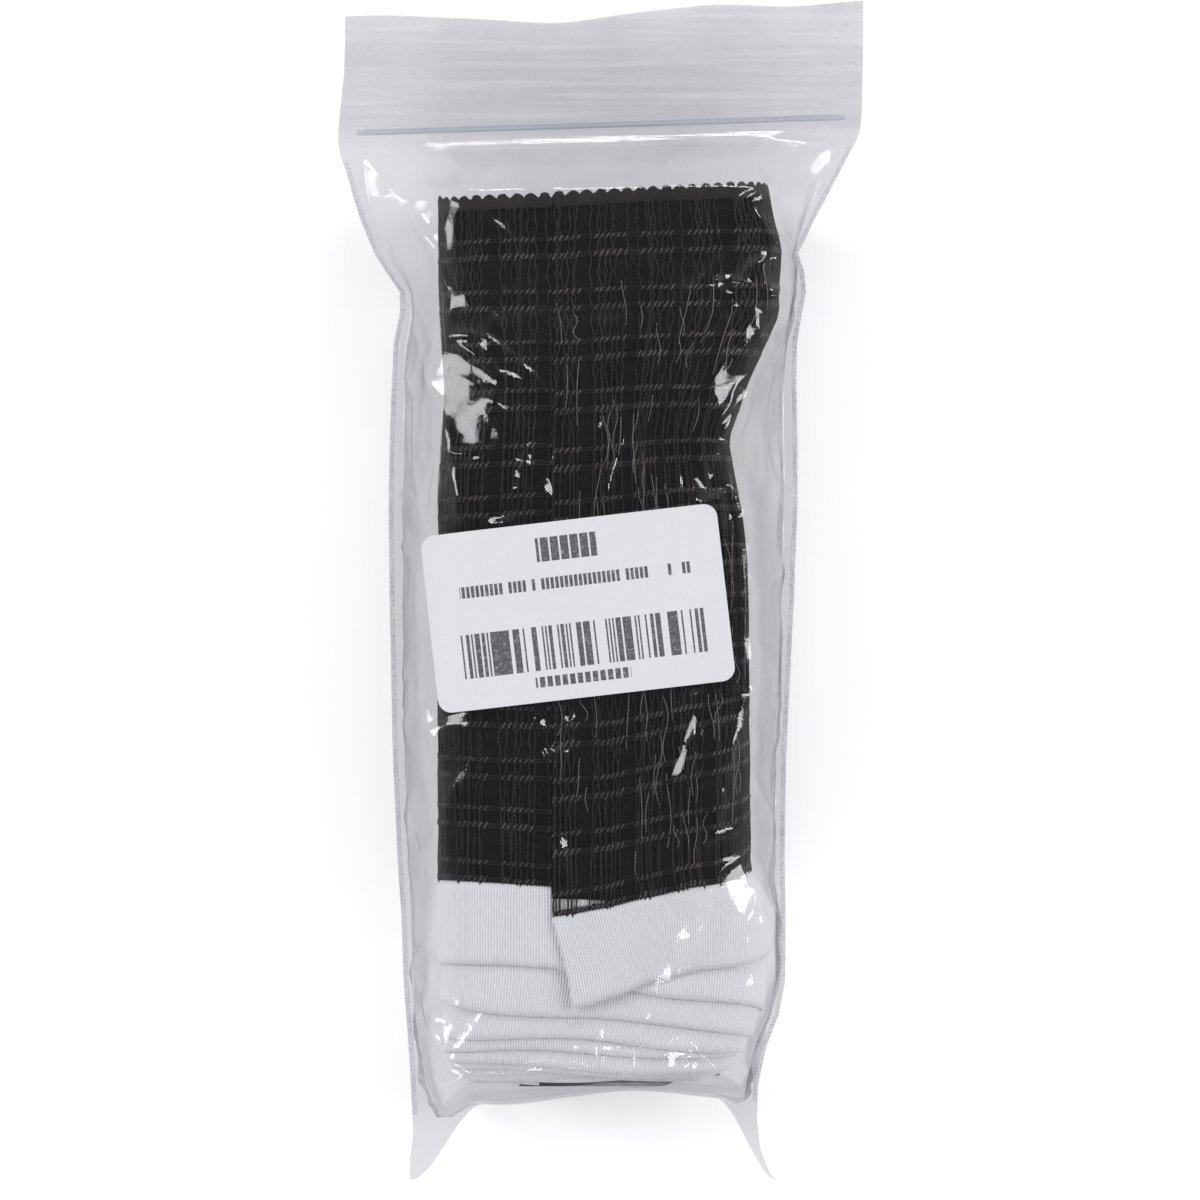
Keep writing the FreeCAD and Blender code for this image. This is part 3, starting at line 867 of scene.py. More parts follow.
def settle(points: Grid) -> Grid:
    """The roll as it lies in the bag.

    Its open upper end is pressed flatter where the bag closes over it. Its right side is drawn in below that,
    most of all just above the label, and comes out again at the headband.
    """
    y = points[..., 1]
    press = 1.0 - 0.45 * smoothstep(34.0, 84.0, y)
    foot = smoothstep(-70.0, -92.0, y)
    right = np.interp(y, [-95.0, -78.0, -60.0, -52.0, 5.0, 16.0, 24.0, 31.0, 42.0, 49.0, 55.0, 68.0, 80.0],
                      [28.5, 33.0, 34.0, 29.5, 29.0, 28.0, 26.3, 25.2, 29.0, 32.2, 35.0, 35.6, 33.0])
    shift = 1.5 - 3.0 * foot
    left = 36.5 * (0.925 - 0.04 * foot) - 1.2 * bump(y, 40.0, 14.0)
    out = points.copy()
    out[..., 0] = shift + points[..., 0] / 36.5 * np.where(points[..., 0] > 0, right - shift, left)
    out[..., 2] = MID_Z + (points[..., 2] - MID_Z) * press
    return out


@dataclass
class NetRoll:
    """The net: white headband, knitted mesh and scalloped hem, wound together."""

    winding: Winding
    height: float = NET_HEIGHT
    band: float = BAND
    hem: float = 2.2
    band_thickness: float = 0.8
    row: float = 10.2
    second_row: float = 3.7
    bundle: float = 9.9
    open_turns: float = 1.12
    lean_up: tuple[float, float, float] = (0.31, 0.0, 0.95)

    def _open_end(self) -> float:
        """Length of the strip that is drawn as open knit."""
        w = self.winding
        return w.length[np.flatnonzero(w.turn < self.open_turns)[-1]]

    def headband(self, material: bpy.types.Material) -> bpy.types.Object:
        """The tape: a flat rounded section carried along the whole spiral, thicker at its two sewn edges."""
        w = self.winding
        across = np.concatenate([np.linspace(0.0, self.band, 15), np.linspace(self.band, 0.0, 15)])
        half = self.band_thickness / 2
        face = np.concatenate([np.full(15, -1.0), np.full(15, 1.0)])
        edge = np.minimum(across, self.band - across)
        swell = half * (np.sqrt(1.0 - (1.0 - np.clip(edge / 0.5, 0.0, 1.0)) ** 2) * 0.9 + 0.1)
        y = w.height_at(w.length[:, None], across[None, :])
        inset = (self.band_thickness / 2 + 0.03 + face * swell)[None, :] + np.zeros_like(y)
        ripple = 0.05 * np.sin(w.length / 3.1)[:, None] * np.sin(across / 5.0)[None, :]
        index = np.arange(len(w.length))[:, None] + np.zeros_like(across, int)[None, :]
        points = w.at(inset + np.maximum(ripple, 0.0), y, index)
        slanted = 0.28 * (1.0 - smoothstep(2.0, 40.0, w.length))
        points[..., 0] += (self.band - across)[None, :] * slanted[:, None]
        coords = np.stack([w.length[:, None] + np.zeros_like(y), across[None, :] + np.zeros_like(y)], axis=-1)
        tape = Surface.of_grid(points, coords, closed=True)
        ring = points.shape[1]
        end = np.stack([np.arange(14), np.arange(ring - 1, ring - 15, -1),
                        np.arange(ring - 2, ring - 16, -1), np.arange(1, 15)], axis=1)
        last = end[:, ::-1] + (len(w.length) - 1) * ring
        tape.faces = np.concatenate([tape.faces, end, last])
        return tape.to_object("net_headband_tape", material)

    def cloth(self, material: bpy.types.Material) -> bpy.types.Object:
        """The knitted strip as one sheet from the headband to the hem.

        Near the free end the knit is pulled open, so the sheet starts higher there and only yarns are left
        under it.
        """
        w = self.winding
        chosen = np.arange(0, len(w.length), 3)
        share = np.linspace(0.0, 1.0, 58)
        index = chosen[:, None] + np.zeros(len(share), int)[None, :]
        edge = w.height_at(w.length, np.full(len(w.length), self.band)) - self.band
        low = np.maximum(self.band - 0.4, (-57.2 - edge) * (w.turn < 0.33))[index]
        rise = low + (self.height - self.hem + 0.3 - low) * share[None, :]
        y = w.height_at(w.length[index], rise)
        wave = 0.12 * np.sin(w.length[index] / 1.55) * np.sin(rise / 1.6)
        points = w.at(0.62 + wave, y, index)
        coords = np.stack([w.length[index], rise], axis=-1)
        return Surface.of_grid(points, coords).to_object("net_cloth_roll", material)

    def strands(self, material: bpy.types.Material) -> bpy.types.Object:
        """The open knit of the outer turns: bundles of yarn that run from the headband to the hem.

        Every bundle has eight fine yarns. Each follows a straight line up the strip plus a slow sway and a
        small zigzag where it is caught by a row of stitches.
        """
        w = self.winding
        rng = np.random.default_rng(5)
        centres = np.arange(2.0, self._open_end(), self.bundle)
        centres = centres + rng.normal(0.0, 0.35, len(centres))
        offset = np.array([-3.2, -2.3, -1.45, -0.5, 0.4, 1.3, 2.2, 3.1])
        base = (centres[:, None] + offset[None, :] + rng.normal(0.0, 0.16, (len(centres), 8))).ravel()
        base = base[base > 0.3]
        count, number = len(base), np.arange(len(base))[:, None]
        rise = np.linspace(self.band - 0.8, self.height - self.hem + 0.6, 56)[None, :]
        lean = rng.normal(0.0, 0.5, count)[:, None] * (rise - self.band) / self.height
        sway = 0.45 * np.sin(rise / rng.uniform(9.0, 17.0, (count, 1)) + rng.uniform(0, 6.3, (count, 1)))
        caught = 0.32 * np.sin(2 * np.pi * rise / self.row * 2 + number * np.pi)
        s = np.clip(base[:, None] + lean + sway + caught, 0.0, w.length[-1])
        depth = 0.45 + 0.12 * np.sin(rise / 2.3 + number)
        points = w.laid(s, w.height_at(s, rise + 0 * s), depth)
        radius = rng.uniform(0.12, 0.21, (count, 1)) + np.zeros_like(s)
        return tubes(points, radius, self.lean_up).to_object("net_strand_yarns", material)

    def rows(self, material: bpy.types.Material) -> bpy.types.Object:
        """The rows of stitches: each a pair of yarns that cross in a zigzag, with a finer pair above it."""
        w = self.winding
        s = np.arange(0.4, self._open_end(), 0.31)[None, :]
        levels = self._levels()[:, None]
        stitch = 2 * np.pi * s / 1.25
        parts: list[Surface] = []
        for phase, amplitude, radius, shift in ((0.0, 0.62, 0.17, 0.25), (np.pi, 0.62, 0.17, 0.25),
                                                (0.4, 0.5, 0.15, self.second_row),
                                                (3.5, 0.5, 0.15, self.second_row)):
            drift = 0.35 * np.sin(s / 31.0 + levels)
            y = w.height_at(s, levels + drift + shift) + amplitude * np.sin(stitch + phase)
            depth = 0.36 + 0.14 * np.cos(stitch + phase)
            parts.append(tubes(w.laid(s, y, depth), radius, (0.05, 1.0, 0.0)))
        return Surface.merged(parts).to_object("net_stitch_rows", material)

    def _levels(self) -> Grid:
        """Heights of the rows of stitches above the strip's lower edge."""
        return np.arange(self.band + 0.5, self.height - self.hem - 4.0, self.row)

    def slants(self, material: bpy.types.Material) -> bpy.types.Object:
        """The raised stitches of each row: short thick slanted yarns, one for each loop."""
        w = self.winding
        rng = np.random.default_rng(9)
        s = np.arange(0.6, self._open_end() - 1.0, 1.22)
        s = s[np.abs((s + 2.95) % self.bundle - self.bundle / 2) < 3.7]
        levels = self._levels()[:, None, None]
        share = np.linspace(-1.0, 1.0, 5)[None, None, :]
        parts: list[Surface] = []
        for shift, reach in ((0.25, 0.72), (self.second_row, 0.55)):
            start = s[None, :, None] + rng.normal(0.0, 0.1, (len(levels), len(s), 1))
            place = start + 0.42 * share
            drift = 0.35 * np.sin(place / 31.0 + levels)
            tilt = rng.uniform(0.75, 1.1, (len(levels), len(s), 1))
            y = w.height_at(place, levels + drift + shift + reach * tilt * share)
            points = w.laid(place, y, 0.3 + 0.22 * share ** 2).reshape(-1, 5, 3)
            taper = (0.11 + 0.11 * (1.0 - share[0] ** 2)) + np.zeros(points.shape[:2])
            parts.append(tubes(points, taper, self.lean_up))
        return Surface.merged(parts).to_object("net_raised_stitches", material)

    def hairs(self, material: bpy.types.Material) -> bpy.types.Object:
        """Loose filaments that have sprung from the outer turn, each a thin bent thread."""
        w = self.winding
        rng = np.random.default_rng(17)
        count = 150
        s = rng.uniform(1.0, 50.0, (count, 1)) + (rng.random((count, 1)) < 0.3) * 125.0
        low = rng.uniform(self.band + 4.0, self.height - 24.0, (count, 1))
        share = np.linspace(0.0, 1.0, 18)[None, :]
        rise = low + rng.uniform(4.0, 15.0, (count, 1)) * share
        place = s + rng.normal(0.0, 0.8, (count, 1)) * share + rng.uniform(-0.9, 0.9, (count, 1)) * np.sin(
            np.pi * share * rng.uniform(0.8, 2.2, (count, 1)))
        place = np.clip(place, 0.0, w.length[-1])
        y = w.height_at(place, rise)
        points = w.laid(place, y, 0.42 - 0.35 * np.sin(np.pi * share))
        return tubes(points, 0.06, self.lean_up).to_object("net_loose_filaments", material)

    def picots(self, material: bpy.types.Material) -> bpy.types.Object:
        """The scalloped hem: a thick knitted edge whose rim swings out every 2.9 mm, all along the strip."""
        w = self.winding
        s = np.arange(0.3, w.length[-1] - 0.3, 0.36)
        share = np.array([0.0, 0.06, 0.35, 0.7, 0.94, 1.0, 0.94, 0.7, 0.35, 0.06])
        bulge = np.array([0.0, -0.26, -0.36, -0.38, -0.24, 0.0, 0.24, 0.36, 0.36, 0.26])
        rim = self.height - 0.75 + 1.25 * np.abs(np.sin(np.pi * s / 2.9)) ** 0.6
        low = self.height - self.hem - 0.5
        rise = low + (rim - low)[:, None] * share[None, :]
        nearest = np.interp(s, w.length, np.arange(len(w.length))).round().astype(int)
        index = nearest[:, None] + np.zeros((1, len(share)), int)
        y = w.height_at(w.length[index], rise)
        points = w.at(0.5 + bulge[None, :] + np.zeros_like(y), y, index)
        coords = np.stack([w.length[index], rise], axis=-1)
        hem = Surface.of_grid(points, coords, closed=True)
        fan = np.array([[0, 1, 8, 9], [1, 2, 7, 8], [2, 3, 6, 7], [3, 4, 5, 6]])
        hem.faces = np.concatenate([hem.faces, fan, fan[:, ::-1] + (len(s) - 1) * 10])
        return hem.to_object("net_picot_hem", material)


# ------------------------------------------------------------------ the bag


@dataclass
class FilmBag:
    """The press-seal bag: two walls, their side seams with ears, two lips and the track."""

    hinge_y: float = 88.6
    track_y: float = 92.6
    track_ends: tuple[float, float] = (-47.4, 47.9)
    ear_reach: float = 15.4
    skew: float = math.tan(math.radians(1.85))
    across: int = 232
    along: int = 400

    def _stations(self) -> dict[str, Grid]:
        """The section's sizes down the length of the bag, in millimetres."""
        rows = np.array([
            # y, seams and fins right and left, height, corner radii and flat half widths right and left
            (-97.6, 22.5, 24.5, 12.0, 12.5, 0.12, 0.1, 0.1, 20.0, 22.0),
            (-97.0, 24.0, 26.0, 9.0, 11.0, 3.8, 3.0, 3.0, 19.0, 21.5),
            (-95.8, 26.0, 28.5, 5.2, 8.6, 9.0, 4.5, 4.5, 20.0, 23.0),
            (-93.6, 27.6, 31.0, 3.0, 5.4, 14.2, 5.0, 5.0, 21.5, 25.5),
            (-90.0, 28.4, 33.2, 2.4, 3.6, 17.4, 6.5, 6.5, 21.5, 26.0),
            (-85.0, 30.0, 34.9, 2.4, 2.4, 19.1, 9.0, 9.5, 20.0, 24.0),
            (-80.0, 32.6, 35.8, 2.3, 2.0, 19.42, 10.5, 11.5, 21.5, 21.5),
            (-74.0, 33.8, 36.3, 2.3, 2.0, 19.42, 11.0, 12.2, 22.5, 21.6),
            (-62.0, 33.9, 36.6, 2.3, 2.1, 19.42, 11.0, 12.2, 23.2, 21.8),
            (-50.0, 33.6, 37.2, 2.4, 2.3, 19.42, 10.0, 12.2, 20.5, 21.8),
            (-30.0, 33.8, 37.6, 2.5, 2.8, 19.42, 8.0, 12.4, 22.8, 22.4),
            (0.0, 35.0, 38.0, 2.8, 3.0, 19.42, 7.0, 12.8, 24.4, 23.4),
            (18.0, 35.6, 38.2, 2.9, 3.0, 19.42, 7.6, 12.8, 22.4, 23.0),
            (31.0, 35.6, 38.0, 2.9, 3.0, 19.35, 9.0, 12.2, 17.5, 21.6),
            (42.0, 35.4, 37.8, 2.9, 2.8, 19.1, 10.5, 12.0, 20.0, 21.4),
            (50.0, 35.6, 37.4, 2.8, 2.8, 17.9, 11.0, 11.0, 22.8, 22.2),
            (56.0, 36.6, 36.4, 2.8, 2.6, 16.2, 10.5, 10.0, 25.6, 23.0),
            (60.0, 37.4, 36.8, 2.8, 2.2, 15.4, 10.0, 9.4, 26.6, 23.6),
            (64.0, 37.6, 39.4, 2.2, 2.4, 14.4, 9.4, 9.0, 27.0, 24.0),
            (67.5, 37.0, 41.6, 1.6, 2.4, 13.5, 9.0, 8.6, 27.2, 24.2),
            (74.0, 39.6, 43.8, 2.2, 2.8, 12.1, 8.0, 8.0, 27.2, 24.4),
            (79.4, 42.2, 45.2, 2.8, 3.0, 11.2, 7.0, 7.0, 27.5, 24.6),
            (84.4, 44.6, 46.0, 3.3, 3.4, 6.4, 4.6, 4.6, 28.5, 26.0),
            (88.4, 46.4, 46.8, 3.8, 3.8, 2.0, 1.6, 1.6, 32.0, 31.0),
            (90.5, 47.0, 47.2, 3.8, 3.8, 0.95, 0.8, 0.8, 38.0, 38.0),
            (93.5, 47.4, 47.2, 3.6, 3.8, 0.75, 0.6, 0.6, 40.0, 40.0),
            (104.0, 47.5, 46.6, 3.5, 3.5, 0.8, 0.6, 0.6, 40.0, 40.0),
            (114.4, 47.4, 46.6, 3.5, 3.5, 0.5, 0.4, 0.4, 40.0, 40.0)])
        foot_rows, foot_end = 60, -84.0
        y = np.concatenate([np.linspace(FOOT_Y, foot_end, foot_rows, endpoint=False),
                            np.linspace(foot_end, MOUTH_Y, self.along - foot_rows)])
        return {name: np.interp(y, rows[:, 0], rows[:, k])
                for k, name in enumerate(("y", "seam_right", "seam_left", "fin_right", "fin_left", "height",
                                          "corner_right", "corner_left", "right", "left"))}

    def _half(self, st: dict[str, Grid], side: str) -> Grid:
        """Half sections from the seam's edge to the middle.

        Each has a flat top, a round corner, a straight side that touches the corner and runs down to the
        seam, and a flat fin. The straight side touches the corner where the direction from the corner's
        centre is that towards the seam, turned by the angle whose cosine is radius over distance.

        Args:
            st: the stations, as columns.
            side: right or left.

        Returns:
            Stations x samples x 2, outward and up from the bag's middle.
        """
        flat, wall, fin, corner = st[side], st[f"seam_{side}"], st[f"fin_{side}"], st[f"corner_{side}"]
        dx, dz = flat - wall, st["height"] - corner
        away = np.hypot(dx, dz)
        touch = np.arctan2(-dz, -dx) + np.arccos(np.clip(corner / away, 0, 1))
        share = np.linspace(0.0, 1.0, 40)[None, :]
        angle = touch + (np.pi / 2 - touch) * share
        arc = np.stack([flat + corner * np.cos(angle), st["height"] - corner + corner * np.sin(angle)], -1)
        top = np.stack([flat * (1.0 - share[:, 1:]), st["height"] + 0 * share[:, 1:]], axis=-1)
        seam = np.stack([wall, 0 * wall], axis=-1)
        slope = seam + (arc[:, :1] - seam) * np.linspace(0.0, 1.0, 16, endpoint=False)[None, :, None]
        reach = np.linspace(1.0, 0.0, 8, endpoint=False)[None, :]
        edge = np.stack([wall + fin * reach, 0 * wall + 0 * reach], axis=-1)
        return resample(np.concatenate([edge, slope, arc, top], axis=1), self.across // 2 + 1)

    def wall(self, face: Face, creases: Creases) -> Surface:
        """One wall of film with its lip.

        Each row is a section of flat top, round corners and straight sides carried on into a flat fin on both
        sides, evenly spaced along its own length. The lower corners are drawn down into ears, the mouth is
        skewed and waved, and the creases lift the film outward, except under the label. The table stops the
        film from below.

        Args:
            face: front or back.
            creases: folds to lift, in the plane of the pack.

        Returns:
            The wall.
        """
        st = {k: v[:, None] for k, v in self._stations().items()}
        half, other = self._half(st, "right"), self._half(st, "left")
        left = other[:, ::-1][:, 1:] * np.array([-1.0, 1.0])
        row = np.concatenate([half, left], axis=1)[:, ::-1]
        px, pz = row[..., 0], row[..., 1]
        y = st["y"] + np.zeros_like(px)
        y = y + self._ear(px, y)
        mouth = smoothstep(70.0, 90.0, y)
        y = y + self.skew * px * mouth
        lip = smoothstep(90.0, 114.0, st["y"])
        y = y + lip * (0.9 * bump(px, -48.0, 14.0) - 1.6 * bump(px, -9.0, 13.0) + 0.9 * bump(px, 22.0, 10.0)
                       + 0.6 * bump(px, 50.0, 10.0))
        lift = creases.lift(px, y) + self._crumple(px, y, 30 if face is Face.FRONT else 60)
        lift = lift * np.minimum(smoothstep(0.0, 4.0, pz) + 0.35, 1.0)
        if face is Face.FRONT:
            lx, ly = self._on_label(px, y)
            lift = lift * smoothstep(0.0, 3.0, np.maximum(np.abs(lx) - 28.5, np.abs(ly) - 17.0))
        slope_x, slope_z = np.gradient(px, axis=1), np.gradient(pz, axis=1)
        size = np.hypot(slope_x, slope_z) + 1e-9
        nx, nz = -slope_z / size, slope_x / size
        px, pz = px + nx * lift, pz + nz * lift
        wave = lip * (0.55 * np.sin(px / 8.0 + 0.6) + 0.35 * np.sin(px / 3.7 + y / 9.0))
        pz = pz + 0.06 + np.clip(wave * face.value + 0.2 * lip, -0.45 * lip, None)
        above_table = np.maximum(MID_Z + face.value * pz, 0.02)
        points = np.stack([px + 0.4 * lip, y, above_table], axis=-1)
        return Surface.of_grid(points, flip=face is Face.BACK)

    @staticmethod
    def _crumple(x: Grid, y: Grid, seed: int) -> Grid:
        """Curved folds, gathered where the film is slack: beside the roll, by the label and at the ends."""
        slack = np.zeros_like(x)
        for share, mid_x, half_x, mid_y, half_y in (
                (1.0, -22.0, 11.0, 34.0, 18.0), (1.0, 30.0, 8.0, 62.0, 13.0), (0.8, 26.0, 7.0, 22.0, 16.0),
                (0.7, -8.0, 8.0, -36.0, 16.0), (0.7, 18.0, 7.0, -38.0, 20.0), (0.35, 4.0, 9.0, 33.0, 22.0)):
            slack = slack + share * bump(x, mid_x, half_x) * bump(y, mid_y, half_y)
        sides = 0.75 * smoothstep(25.0, 32.0, np.abs(x)) * smoothstep(78.0, 60.0, y)
        ends = 0.8 * smoothstep(-68.0, -88.0, y) + 0.5 * smoothstep(68.0, 78.0, y) * smoothstep(90.0, 84.0, y)
        swell = (0.85 * lattice_noise(x / 8.0 + 3.0, y / 15.0, seed + 6)
                 + 0.4 * lattice_noise(x / 4.0, y / 7.0, seed + 7))
        return ((0.6 + 0.5 * smoothstep(6.0, 22.0, np.abs(x))) * swell * smoothstep(86.0, 74.0, y)
                + (slack * 1.2 + 0.05) * wrinkles(x, y, seed, 7.5, 1.9, 74.0)
                + sides * wrinkles(x, y, seed + 2, 5.0, 4.0, 88.0)
                + ends * wrinkles(x, y, seed + 4, 7.0, 2.0, 60.0) * (1.0 + 0.4 * np.sign(x)))

    @staticmethod
    def _ear(x: Grid, y: Grid) -> Grid:
        """How far the foot is drawn down: into an ear at either corner, with an uneven fold between."""
        foot = np.exp(-np.clip((y - FOOT_Y) / 8.0, 0, None) ** 1.4)
        reach = smoothstep(22.5, 34.5, x) + smoothstep(22.5, 37.0, -x)
        return foot * (-FilmBag.ear_reach * reach + 2.0 * bump(x, 7.0, 14.0) - 0.8 * bump(x, -18.0, 8.0))

    @staticmethod
    def _on_label(x: Grid, y: Grid) -> tuple[Grid, Grid]:
        """Distances along and across the label from its middle."""
        dx, dy, cosine, sine = x - LABEL_X, y - LABEL_Y, math.cos(LABEL_TURN), math.sin(LABEL_TURN)
        return dx * cosine + dy * sine, dy * cosine - dx * sine

    def track(self, face: Face, material: bpy.types.Material) -> bpy.types.Object:
        """The track on one lip: a low double ridge carried along the mouth, with pressed-in ends."""
        steps = 300
        x = np.linspace(*self.track_ends, steps)
        y = self.track_y + self.skew * x
        low, high = self.track_ends
        ends = np.minimum(smoothstep(low, -45.6, x), 1.0 - smoothstep(46.0, high, x))
        profile = np.array([(-0.55, 0.0), (-0.46, 0.16), (-0.3, 0.32), (-0.15, 0.14), (0.0, 0.1),
                            (0.15, 0.14), (0.3, 0.32), (0.46, 0.16), (0.55, 0.0), (0.0, -0.12)])
        dy = profile[None, :, 0] * (0.75 + 0.25 * ends[:, None])
        dz = 0.95 + profile[None, :, 1] * (0.35 + 0.65 * ends[:, None])
        points = np.stack([x[:, None] - self.skew * dy, y[:, None] + dy, MID_Z + face.value * dz], axis=-1)
        side = Surface.of_grid(points, closed=True, flip=face is Face.BACK)
        fan = np.array([[0, 1, 8, 9], [1, 2, 7, 8], [2, 3, 6, 7], [3, 4, 5, 6]])
        last = (steps - 1) * len(profile)
        start, end = (fan, fan[:, ::-1] + last) if face is Face.FRONT else (fan[:, ::-1], fan + last)
        side.faces = np.concatenate([side.faces, start, end])
        return side.to_object(f"press_track_{face.name.lower()}", material)

    def seam(self, side: int, material: bpy.types.Material) -> bpy.types.Object:
        """The weld down one side: a thin flat strip with a stippled face, waved by the pull of the film."""
        y = np.linspace(-92.0, 87.0, 420)
        st = self._stations()
        wall = np.interp(y, st["y"], st["seam_right" if side > 0 else "seam_left"])
        fin = np.interp(y, st["y"], st["fin_right" if side > 0 else "fin_left"])
        across = np.linspace(0.0, 1.0, 7)[None, :]
        x = (wall + fin - 1.0)[:, None] + 0.9 * across
        yy = y[:, None] + self._ear(side * x, y[:, None] + 0 * x)
        yy = yy + self.skew * side * x * smoothstep(70.0, 90.0, yy)
        z = 0.05 + 0.12 * np.sin(y / 1.9)[:, None] * across
        top = np.stack([side * x, yy, MID_Z + z + 0.05], axis=-1)
        low = np.stack([side * x, yy, MID_Z + z - 0.05], axis=-1)[:, ::-1]
        return Surface.of_grid(np.concatenate([top, low], axis=1), closed=True, flip=side < 0).to_object(
            f"side_seam_{'right' if side > 0 else 'left'}", material)


def front_creases() -> Creases:
    """The front wall's folds: the main ones placed one by one, with many small ones scattered between them.
    """
    folds = (
        # down the left edge and over its shoulder
        (((-36.5, 57.0), (-33.0, 46.0), (-29.4, 36.0), (-27.6, 26.0), (-26.8, 15.0)), 1.25, 1.5),
        (((-28.5, 51.0), (-22.0, 50.0), (-16.0, 45.5), (-10.0, 39.2)), 0.8, 0.8),
        (((-27.5, 49.5), (-20.0, 43.5), (-10.5, 38.8)), 0.8, 0.8),
        (((-22.0, 39.5), (-17.0, 34.5), (-12.0, 31.0), (-9.0, 24.5)), 1.1, 1.9),
        (((-17.0, 27.5), (-12.5, 25.0), (-9.6, 18.0)), 0.9, 1.3),
        (((-26.5, 19.5), (-17.0, 21.5), (-11.5, 20.5)), 0.8, 0.9),
        (((-21.0, 57.5), (-14.0, 60.0), (-8.0, 61.0)), 0.3, 1.1),
        (((-24.5, 57.5), (-18.0, 50.5)), 0.35, 1.4),
        # up the right edge
        (((29.0, 76.0), (31.0, 70.5), (35.6, 66.8)), 0.9, 0.9),
        (((27.5, 62.5), (31.0, 65.5), (35.8, 66.0)), 0.8, 1.0),
        (((20.8, 60.0), (24.0, 61.4), (29.0, 60.0), (34.6, 58.4)), 1.0, 0.9),
        (((21.5, 59.4), (27.0, 57.0), (34.2, 57.6)), 0.9, 0.9),
        (((29.0, 42.0), (25.0, 36.0), (21.6, 30.0)), 0.8, 0.9),
        (((21.8, 29.5), (21.2, 22.0), (18.0, 18.0)), 1.0, 1.2),
        (((22.0, 24.0), (24.5, 17.5)), 0.9, 1.0),
        (((14.6, 25.5), (15.0, 19.0)), 0.6, 0.7),
        # over the middle, above the label
        (((-2.4, 40.2), (0.4, 38.0), (0.6, 31.0), (3.6, 27.4)), 0.35, 0.8),
        (((5.0, 62.0), (7.5, 52.0), (7.0, 40.0)), 0.2, 1.2),
        # fan below the mouth
        (((-46.0, 86.0), (-36.0, 74.0), (-30.0, 66.0)), 0.8, 1.0),
        (((-42.0, 84.0), (-24.0, 75.0), (-14.0, 66.0)), 0.55, 1.0),
        (((-38.0, 79.0), (-33.0, 70.0), (-29.0, 58.0)), 0.7, 1.1),
        (((-47.0, 80.0), (-43.0, 68.0), (-39.0, 60.0)), 0.6, 0.9),
        (((46.0, 88.0), (36.0, 77.0), (22.0, 64.0), (14.0, 56.0)), 0.65, 1.0),
        (((46.0, 82.0), (40.0, 72.0), (37.0, 64.0)), 0.8, 1.0),
        (((42.0, 87.0), (34.0, 80.0), (25.0, 76.0)), 0.5, 1.0),
        (((-20.0, 84.0), (0.0, 82.0), (12.0, 84.0)), 0.35, 1.3),
        # below the label
        (((-12.4, -20.5), (-11.0, -27.0), (-8.6, -31.0), (-6.0, -27.0), (-5.2, -20.5)), 0.9, 0.8),
        (((-9.4, -33.0), (-8.8, -42.0), (-7.2, -53.0)), 0.75, 1.5),
        (((19.0, -20.0), (17.0, -29.0), (14.0, -36.0)), 0.9, 1.3),
        (((25.5, -22.0), (23.0, -34.0), (21.5, -44.0)), 0.9, 1.1),
        (((19.0, -43.0), (19.8, -52.0), (19.6, -61.0)), 1.0, 1.6),
        (((19.6, -61.0), (15.0, -67.0), (11.5, -78.0)), 1.35, 1.9),
        (((11.5, -78.0), (19.0, -86.0), (26.0, -95.0)), 0.8, 1.0),
        (((-24.0, -25.0), (-21.0, -34.0), (-24.0, -42.0)), 0.45, 1.1),
        # along the lower end
        (((-32.0, -76.0), (-30.0, -86.0), (-22.0, -93.0)), 0.8, 1.1),
        (((-22.0, -93.0), (-14.0, -88.0), (-4.0, -88.0), (6.0, -94.0)), 0.8, 0.9),
        (((-20.0, -94.0), (-27.0, -100.0), (-33.0, -108.0)), 1.0, 0.9),
        (((26.0, -92.0), (29.0, -100.0), (33.0, -109.0)), 1.0, 0.9),
        (((-35.0, -92.0), (-36.5, -104.0), (-33.0, -110.0)), 0.7, 0.8))
    main = Creases.bent(*folds[0])
    for points, height, width in folds[1:]:
        main = main.joined(Creases.bent(points, height, width))
    for scatter in ((50, 11, (-37, -92, -26, 70), (5, 18), (88, 20), (0.2, 0.6), (0.5, 1.2)),
                    (50, 12, (27, -92, 37, 70), (5, 18), (92, 20), (0.2, 0.6), (0.5, 1.2)),
                    (40, 14, (-32, -110, 32, -84), (4, 13), (60, 50), (0.15, 0.55), (0.5, 1.0)),
                    (26, 15, (-44, 66, 44, 89), (5, 16), (85, 24), (0.1, 0.35), (0.5, 1.0))):
        main = main.joined(Creases.scattered(*scatter))
    return main


def back_creases() -> Creases:
    """The back wall's folds: few where it lies on the table, more down the sides and at both ends."""
    left, right, foot, neck = (Creases.scattered(*scatter) for scatter in (
        (50, 21, (-38, -92, -27, 72), (6, 20), (89, 22), (0.2, 0.7), (0.5, 1.2)),
        (50, 22, (27, -92, 38, 72), (6, 20), (91, 22), (0.2, 0.7), (0.5, 1.2)),
        (40, 23, (-32, -112, 32, -86), (4, 14), (70, 45), (0.2, 0.7), (0.5, 1.0)),
        (36, 24, (-44, 64, 44, 89), (5, 18), (86, 22), (0.15, 0.6), (0.5, 1.0))))
    return left.joined(right).joined(foot).joined(neck)


# ------------------------------------------------------------------ assembly


